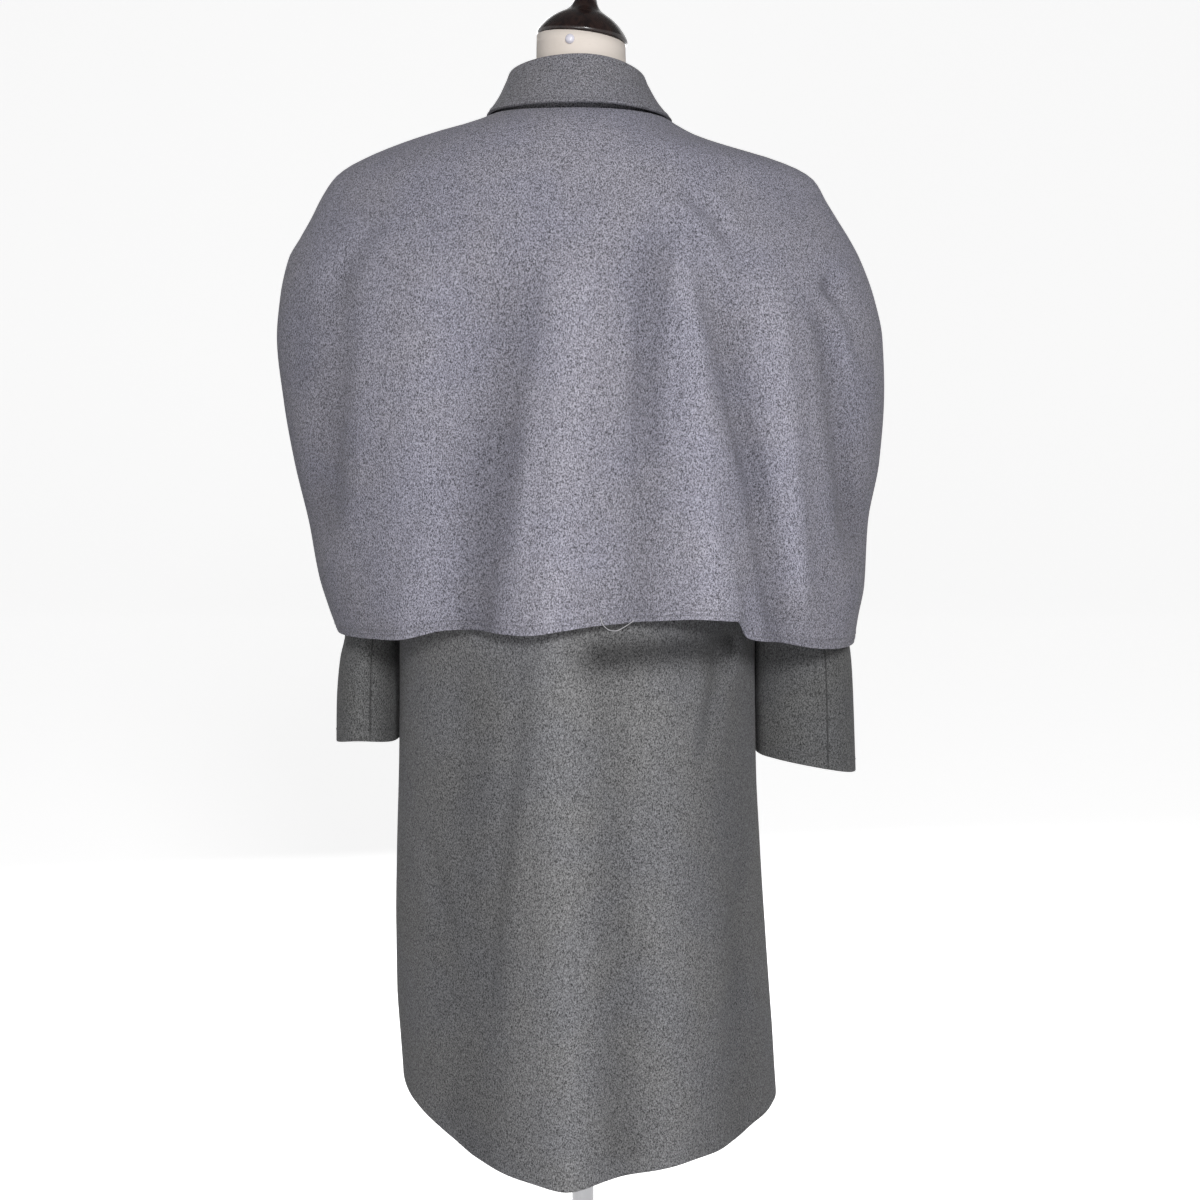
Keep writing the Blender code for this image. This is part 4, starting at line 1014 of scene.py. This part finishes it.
def stitchesAlong(points, outs, first=0.001):
    steps = np.linalg.norm(np.diff(points, axis=0), axis=1)
    length = np.concatenate([[0], np.cumsum(steps)])
    starts = np.arange(first, length[-1] - sewing["stitch"], sewing["stitch"] + sewing["space"])
    places = starts[:, None] + sewing["stitch"] * np.array([0.0, 0.22, 0.78, 1.0])
    lifts = sewing["rise"] * np.array([-2.2, 1.0, 1.0, -2.2])
    at = np.stack([np.interp(places, length, points[:, k]) for k in range(3)], -1)
    out = np.stack([np.interp(places, length, outs[:, k]) for k in range(3)], -1)
    return at + out * lifts[:, None]


def topStitches(pieceName, rows):
    found = []
    for side in clothGrids[pieceName]["stitched"]:
        for distance in rows:
            found.append(stitchesAlong(*lineAt(pieceName, side, distance)))
    return found


# Sewing thread: two plies laid round each other
def sewingThread(name, colour):
    thread = Finish(name)
    ply = thread.add(
        "ShaderNodeTexWave",
        {"wave_type": "BANDS", "bands_direction": "DIAGONAL"},
        {"Vector": thread.place(), "Scale": 900.0, "Distortion": 0.6},
        "Fac",
    )
    tone = thread.noise(thread.place(), 240.0, 1.0)
    mixed = thread.mix(tone, tuple(c * 0.80 for c in colour), tuple(c * 1.20 for c in colour))
    thread.set(Base_Color=thread.mix(ply * 0.35, mixed, tuple(c * 0.55 for c in colour)))
    thread.set(Normal=thread.bump(ply, 0.5, 0.0002), Roughness=tone * 0.15 + 0.55)
    return thread.material


capeThread = sewingThread("capeThread", sewing["capeThread"])
coatThread = sewingThread("coatThread", sewing["coatThread"])
looseEnd = np.array(sewing["looseThread"])
fine = np.linspace(0, len(looseEnd) - 1, sewing["looseSteps"])
looseEnd = np.stack([np.interp(fine, np.arange(len(looseEnd)), looseEnd[:, k]) for k in range(3)], -1)
for k in range(3):  # rounds the corners of the loose end
    looseEnd[1:-1] = (looseEnd[:-2] + 2 * looseEnd[1:-1] + looseEnd[2:]) / 4
capeCloth = clothGrids["capeBack"]["grid"].reshape(-1, 3)
for point in looseEnd:  # lays it on the cape
    near = np.argmin((capeCloth[:, 0] - point[0]) ** 2 + (capeCloth[:, 2] - point[2]) ** 2)
    point[1] = capeCloth[near, 1] + sewing["looseRise"]
for k in range(4):
    looseEnd[1:-1, 1] = (looseEnd[:-2, 1] + looseEnd[1:-1, 1] + looseEnd[2:, 1]) / 3
looseFinish = sewingThread("looseThread", sewing["looseColour"])
threadPiece("looseThread", [looseEnd[None]], sewing["looseRadius"], looseFinish)
stitchPlan = {  # piece: the cloth that it runs along, the wool whose lines it follows, its thread
    "capeStitches": ("capeBack capeFrontLeft capeFrontRight", "cape", capeThread),
    "collarStitches": ("collarLeaf", "collar", capeThread),
    "cuffStitches": ("sleeveTopLeft sleeveUnderLeft sleeveTopRight sleeveUnderRight", "sleeve", coatThread),
    "frontStitches": ("coatFrontLeft", "coat", coatThread),
}
for name, (cloths, wool, thread) in stitchPlan.items():
    rows = sum((topStitches(cloth, litAndShadedWools[wool][1]) for cloth in cloths.split()), [])
    threadPiece(name, rows, sewing["thread"], thread)
print("stitches sewn")

# Horn buttons on the left front, each with four holes and its thread
button = {
    "radius": 0.0115,
    "thick": 0.0038,
    "highest": 1.385,
    "step": 0.125,
    "count": 5,
    "gap": 0.0005,
    "holeRadius": 0.0011,
    "holeAt": 0.0022,
    "profile": [  # share of the radius, share of the thickness, from the underside up
        (0.86, 0.00), (0.93, 0.04), (0.99, 0.26), (1.00, 0.45), (0.985, 0.64), (0.93, 0.88),
        (0.85, 0.99), (0.78, 1.00), (0.71, 0.94), (0.64, 0.78), (0.57, 0.70), (0.30, 0.68),
    ],
    "holeLow": -0.004,  # how far the buttonhole runs either way from the button's middle
    "holeHigh": 0.0215,
}


# A turned piece: a disc pulled up ring by ring through its profile
def turnedPiece(name, profile, sides, smooth=0):
    bpy.ops.object.select_all(action="DESELECT")
    radius, height = profile[0]
    place = (0, 0, height)
    bpy.ops.mesh.primitive_circle_add(vertices=sides, radius=radius, fill_type="NGON", location=place)
    piece = bpy.context.object
    piece.name = name
    bpy.ops.object.transform_apply(location=True, rotation=False, scale=False)
    bpy.ops.object.mode_set(mode="EDIT")
    bpy.ops.mesh.select_all(action="SELECT")
    for (lowRadius, low), (highRadius, high) in zip(profile, profile[1:]):
        bpy.ops.mesh.extrude_region_move(TRANSFORM_OT_translate={"value": (0, 0, high - low)})
        share = highRadius / lowRadius
        bpy.ops.transform.resize(value=(share, share, 1), center_override=(0, 0, high))
    faceOutwards()
    if smooth:
        rounded(piece, smooth)
    selectOnly(piece)
    bpy.ops.object.shade_smooth_by_angle(angle=math.radians(40))
    return piece


def settle(piece, place, material):
    piece.data.transform(place)
    piece.data.materials.clear()
    piece.data.materials.append(material)
    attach(piece, "root")


def hornFinish():
    horn = Finish("darkHorn")
    here = horn.place(scale=(1, 1, 1), turn=(0.4, 0.2, 0.7))
    cloudy = horn.noise(here, 120.0, 3.0, 0.55, 1.2)
    streak = horn.noise(horn.place(scale=(1, 6, 1), turn=(0.2, 0.5, 0.3)), 240.0, 3.0, 0.6, 2.0)
    brown = horn.mix(horn.between(cloudy, 0.42, 0.72), (0.014, 0.012, 0.012), (0.075, 0.052, 0.036))
    pale = horn.between(streak, 0.60, 0.78) * 0.35
    horn.set(Base_Color=horn.mix(pale, brown, (0.20, 0.155, 0.115)), Roughness=cloudy * 0.16 + 0.20)
    horn.set(Normal=horn.bump(streak, 0.18, 0.0003), Coat_Weight=0.25, Coat_Roughness=0.12)
    return horn.material


rows = [(button["radius"] * a, button["thick"] * b) for a, b in button["profile"]]
plainButton = turnedPiece("plainButton", rows, 32, 1)
drill = None
for across in (-1, 1):
    for up in (-1, 1):
        place = (across * button["holeAt"], up * button["holeAt"], button["thick"] / 2)
        size = {"vertices": 14, "radius": button["holeRadius"], "depth": 0.01}
        bpy.ops.mesh.primitive_cylinder_add(location=place, **size)
        hole = bpy.context.object
        if drill:
            drill.select_set(True)
            bpy.context.view_layer.objects.active = drill
            bpy.ops.object.join()
        else:
            drill = hole
cut = plainButton.modifiers.new("holes", "BOOLEAN")
cut.object = drill
cut.operation = "DIFFERENCE"
cut.solver = "EXACT"
applyModifiers(plainButton)
selectOnly(plainButton)
bpy.ops.object.shade_smooth_by_angle(angle=math.radians(35))
bpy.data.objects.remove(drill, do_unlink=True)

horn = hornFinish()
buttonThreads, holeStitches = [], []
for i in range(button["count"]):
    level = np.array(button["highest"] - button["step"] * i)
    turn = np.array(-math.pi / 2)
    seat, out = Vector(coatPoint(turn, level)), Vector(coatOut(turn, level))
    facing = out.to_track_quat("Z", "Y").to_matrix().to_4x4()
    place = Matrix.Translation(seat + out * button["gap"]) @ facing
    copy = plainButton.copy()
    copy.data = plainButton.data.copy()
    copy.name = "button" + str(i + 1)
    scene.collection.objects.link(copy)
    settle(copy, place, horn)
    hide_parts("button_" + str(i + 1))
    top, reach = button["thick"] * 0.70, button["holeAt"]
    for strand in (-1, 1):
        for beside in (-0.00042, 0.00042):
            loop = [(-1.0, -0.0012), (-0.93, 0.0002), (-0.55, 0.00075), (0.0, 0.0009)]
            loop += [(0.55, 0.00075), (0.93, 0.0002), (1.0, -0.0012)]
            path = [place @ Vector((a * reach, strand * reach + beside, top + b)) for a, b in loop]
            buttonThreads.append([tuple(point) for point in path])
    for x in np.arange(button["holeLow"], button["holeHigh"], 0.00075):
        for way in (-1, 1):
            turnHere = xTurn(float(x), level)
            base = Vector(coatPoint(turnHere, level)) + out * 0.00012
            spans = [(0.00015, -0.0001), (0.0005, 0.00035), (0.0017, 0.00035), (0.0021, -0.0003)]
            holeStitches.append([tuple(base + Vector((0, 0, way * a)) + out * b) for a, b in spans])
bpy.data.objects.remove(plainButton, do_unlink=True)
threadPiece("buttonThreads", [buttonThreads], 0.00036, coatThread, 6)
threadPiece("holeStitches", [holeStitches], 0.00032, coatThread)
print("buttons made")

# Dress form: linen torso, turned cap with its rod, enamel stud, steel pole and lacquered base
form = {
    "capPlace": (-0.0012, 0.0, 1.5782),
    "capTilt": 6.0,
    "capProfile": [
        (0.0455, -0.0035), (0.0472, -0.0033), (0.0482, -0.0024), (0.0485, -0.0010), (0.0482, 0.0006),
        (0.0472, 0.0024), (0.0446, 0.0062), (0.0402, 0.0115), (0.0345, 0.0167), (0.0285, 0.0208),
        (0.0228, 0.0240), (0.0180, 0.0270), (0.0148, 0.0305), (0.0127, 0.0345), (0.0114, 0.0385),
        (0.0106, 0.0430), (0.0105, 0.0600), (0.0105, 0.0720), (0.0102, 0.0752), (0.0090, 0.0777),
        (0.0065, 0.0793), (0.0030, 0.0799),
    ],
    "studRadius": 0.0050,
    "studAt": (0.0108, 1.5662),
    "studProfile": [
        (0.94, 0.0), (1.0, 0.0002), (0.97, 0.0007), (0.80, 0.0017), (0.50, 0.0026), (0.20, 0.00297),
    ],
    "neckRadius": 0.0474,
    "poleRadius": 0.0125,
    "pole": (0.0223, 0.8297),
    "baseProfile": [
        (0.1880, 0.0000), (0.1895, 0.0006), (0.1900, 0.0020), (0.1900, 0.0120), (0.1893, 0.0160),
        (0.1870, 0.0192), (0.1835, 0.0212), (0.1790, 0.0220), (0.1500, 0.0220), (0.0300, 0.0220),
    ],
}


def linenFinish():
    linen = Finish("creamLinen")
    x, y, z = (linen.add("ShaderNodeSeparateXYZ", {}, {"Vector": linen.place()}, k) for k in range(3))
    warp = (x.turnFrom(y) * 420.0).sine()
    weft = (z * 5200.0).sine()
    slub = linen.noise(linen.place(scale=(1, 1, 7)), 160.0, 3.0, 0.6)
    soil = linen.noise(linen.place(), 18.0, 3.0, 0.55)
    colour = linen.mix(linen.between(soil, 0.35, 0.75), (0.800, 0.722, 0.655), (0.755, 0.674, 0.602))
    colour = linen.mix(linen.between(slub, 0.58, 0.75) * 0.30, colour, (0.62, 0.54, 0.47))
    weave = warp * 0.5 + weft * 0.5 + slub * 1.2
    linen.set(Base_Color=colour, Normal=linen.bump(weave, 0.25, 0.0004), Roughness=soil * 0.1 + 0.76)
    linen.set(Sheen_Weight=0.08)
    return linen.material


def woodFinish():
    wood = Finish("espressoWood")
    along = wood.place(scale=(1, 1, 0.10), turn=(0.05, 0.02, 0.0))
    grain = wood.noise(along, 420.0, 4.0, 0.62, 0.8)
    figure = wood.noise(along, 85.0, 2.0, 0.5, 1.6)
    brown = wood.mix(wood.between(figure, 0.35, 0.70), (0.009, 0.0045, 0.0045), (0.024, 0.012, 0.010))
    brown = wood.mix(wood.between(grain, 0.55, 0.72) * 0.5, brown, (0.006, 0.003, 0.003))
    wood.set(Base_Color=brown, Roughness=grain * 0.14 + 0.20, Normal=wood.bump(grain, 0.10, 0.0003))
    wood.set(Coat_Weight=0.25, Coat_Roughness=0.12, Specular_IOR_Level=0.35)
    return wood.material


def enamelFinish():
    enamel = Finish("paleEnamel")
    cloud = enamel.noise(enamel.place(), 260.0, 2.0)
    enamel.set(Base_Color=enamel.mix(cloud, (0.70, 0.68, 0.78), (0.82, 0.80, 0.88)))
    enamel.set(Roughness=cloud * 0.06 + 0.10, Coat_Weight=0.8, Coat_Roughness=0.04)
    return enamel.material


def steelFinish():
    steel = Finish("drawnSteel")
    lines = steel.noise(steel.place(scale=(1, 1, 0.02)), 900.0, 3.0, 0.6)
    smear = steel.noise(steel.place(), 22.0, 3.0, 0.6)
    steel.set(Base_Color=steel.mix(smear, (0.30, 0.30, 0.31), (0.42, 0.42, 0.43)), Metallic=1.0)
    steel.set(Roughness=lines * 0.14 + smear * 0.10 + 0.26, Normal=steel.bump(lines, 0.10, 0.0002))
    return steel.material


def lacquerFinish():
    lacquer = Finish("blackLacquer")
    dust = lacquer.noise(lacquer.place(), 75.0, 4.0, 0.65)
    peel = lacquer.noise(lacquer.place(), 620.0, 1.0)
    edge = lacquer.add("ShaderNodeNewGeometry", {}, {}, "Pointiness")
    worn = lacquer.between(edge, 0.53, 0.60) * lacquer.between(dust, 0.45, 0.60)
    dusty = lacquer.between(dust, 0.55, 0.80) * 0.25
    black = lacquer.mix(dusty, (0.018, 0.018, 0.020), (0.10, 0.095, 0.09))
    lacquer.set(Base_Color=lacquer.mix(worn * 0.6, black, (0.16, 0.15, 0.14)), Roughness=dust * 0.20 + 0.42)
    lacquer.set(Normal=lacquer.bump(peel, 0.06, 0.0003))
    lacquer.set(Coat_Weight=0.08, Coat_Roughness=0.30, Specular_IOR_Level=0.30)
    return lacquer.material


# The torso starts from the form's own solid, merged and rounded
torso = bpy.data.objects.new("linenTorso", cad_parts["form_torso"].data.copy())
scene.collection.objects.link(torso)
selectOnly(torso)
bpy.ops.object.mode_set(mode="EDIT")
bpy.ops.mesh.select_all(action="SELECT")
bpy.ops.mesh.remove_doubles(threshold=1e-5)
bpy.ops.mesh.tris_convert_to_quads(face_threshold=math.radians(60), shape_threshold=math.radians(70))
bpy.ops.mesh.select_all(action="DESELECT")
bpy.ops.mesh.select_mode(type="EDGE")
bpy.ops.mesh.edges_select_sharp(sharpness=math.radians(50))
bpy.ops.transform.edge_crease(value=1.0)
bpy.ops.object.mode_set(mode="OBJECT")
rounded(torso, 2)
bpy.ops.object.shade_smooth_by_angle(angle=math.radians(50))
settle(torso, Matrix.Identity(4), linenFinish())

neckCap = turnedPiece("neckCap", form["capProfile"], 64, 1)
capLean = Matrix.Rotation(-math.radians(form["capTilt"]), 4, "Y")
settle(neckCap, Matrix.Translation(form["capPlace"]) @ capLean, woodFinish())

rows = [(form["studRadius"] * a, b) for a, b in form["studProfile"]]
stud = turnedPiece("neckStud", rows, 32, 2)
studTurn = math.acos(form["studAt"][0] / form["neckRadius"])
studOut = Vector((math.cos(studTurn), math.sin(studTurn), 0))
studSeat = studOut * (form["neckRadius"] + 0.0005) + Vector((0, 0, form["studAt"][1]))
studFacing = studOut.to_track_quat("Z", "Y").to_matrix().to_4x4()
settle(stud, Matrix.Translation(studSeat) @ studFacing, enamelFinish())

low, high = form["pole"]
wide = form["poleRadius"]
rounds = [(0.0006, 0.0), (0.0001, 0.0003), (0.0, 0.0010)]  # how the pole's ends are rounded off
poleRows = [(wide - a, low + b) for a, b in rounds] + [(wide - a, high - b) for a, b in reversed(rounds)]
pole = turnedPiece("steelPole", poleRows, 64)
settle(pole, Matrix.Identity(4), steelFinish())
base = turnedPiece("lacquerBase", form["baseProfile"], 128)
settle(base, Matrix.Identity(4), lacquerFinish())
formPieces = {"form_torso": torso, "form_neck_cap": neckCap, "form_neck_stud": stud}
formPieces.update({"form_pole": pole, "form_base": base})
for node, piece in formPieces.items():
    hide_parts(node)
print("form made")

clothRoles = {  # piece: node, flat width and length, area of the cut, what it rests on
    "capeBack": ("cape_back", (1.16, 0.66), 0.453, ["coat_back", "coat_front_left", "coat_front_right"]),
    "capeFrontLeft": ("cape_front_left", (0.44, 0.64), 0.176, ["coat_front_left"]),
    "capeFrontRight": ("cape_front_right", (0.44, 0.64), 0.175, ["coat_front_right"]),
    "coatBack": ("coat_back", (0.68, 1.12), 0.560, ["form_torso"]),
    "coatFrontLeft": ("coat_front_left", (0.42, 1.12), 0.380, ["form_torso"]),
    "coatFrontRight": ("coat_front_right", (0.42, 1.12), 0.381, ["form_torso"]),
    "sleeveTopLeft": ("sleeve_top_left", (0.24, 0.66), 0.1233, ["coat_back", "coat_front_left"]),
    "sleeveUnderLeft": ("sleeve_under_left", (0.20, 0.60), 0.0679, ["coat_back", "coat_front_left"]),
    "sleeveTopRight": ("sleeve_top_right", (0.22, 0.70), 0.1199, ["coat_back", "coat_front_right"]),
    "sleeveUnderRight": ("sleeve_under_right", (0.20, 0.64), 0.0913, ["coat_back", "coat_front_right"]),
    "collarStand": ("collar_stand", (0.44, 0.06), 0.0197, ["coat_back"]),
    "collarLeaf": ("collar_leaf", (0.56, 0.08), 0.0333, ["collar_stand"]),
}
for name, (node, flat, area, restsOn) in clothRoles.items():
    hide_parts(node)

# Floor and backdrop in one sheet: a wide box without its top, whose edges are swept round
stage = {"width": 16.0, "wallHeight": 7.0, "sweep": 1.6}


def paleStage():
    bpy.ops.object.select_all(action="DESELECT")
    wide, high = stage["width"], stage["wallHeight"]
    place = (0, 0, high / 2 - 0.001)
    bpy.ops.mesh.primitive_cube_add(size=1, location=place, scale=(wide, wide, high))
    room = bpy.context.object
    room.name = "paleStage"
    bpy.ops.object.transform_apply(location=True, rotation=False, scale=True)
    bpy.ops.object.mode_set(mode="EDIT")
    bpy.ops.mesh.select_all(action="DESELECT")
    bpy.ops.object.mode_set(mode="OBJECT")
    for face in room.data.polygons:
        face.select = face.normal.z > 0.5
    bpy.ops.object.mode_set(mode="EDIT")
    bpy.ops.mesh.delete(type="FACE")
    bpy.ops.mesh.select_all(action="SELECT")
    bpy.ops.mesh.flip_normals()
    bpy.ops.object.mode_set(mode="OBJECT")
    sweep = room.modifiers.new("sweep", "BEVEL")
    sweep.width = stage["sweep"]
    sweep.segments = 12
    sweep.limit_method = "ANGLE"
    applyModifiers(room)
    bpy.ops.object.shade_smooth()
    return room


floor = paleStage()
floorFinish = Finish("palePaint")
floorTone = floorFinish.noise(floorFinish.place(), 3.0, 2.0)
shadedFloor = tuple(c * 0.985 for c in studio["floorColour"])
floorColour = floorFinish.mix(floorTone, shadedFloor, studio["floorColour"])
floorFinish.set(Base_Color=floorColour, Roughness=0.9)
floorFinish.set(Emission_Color=(1, 1, 1, 1), Emission_Strength=studio["floorGlow"])
floor.data.materials.append(floorFinish.material)
floor.visible_diffuse = False  # the pale room is bright, and doesn't light the cloth
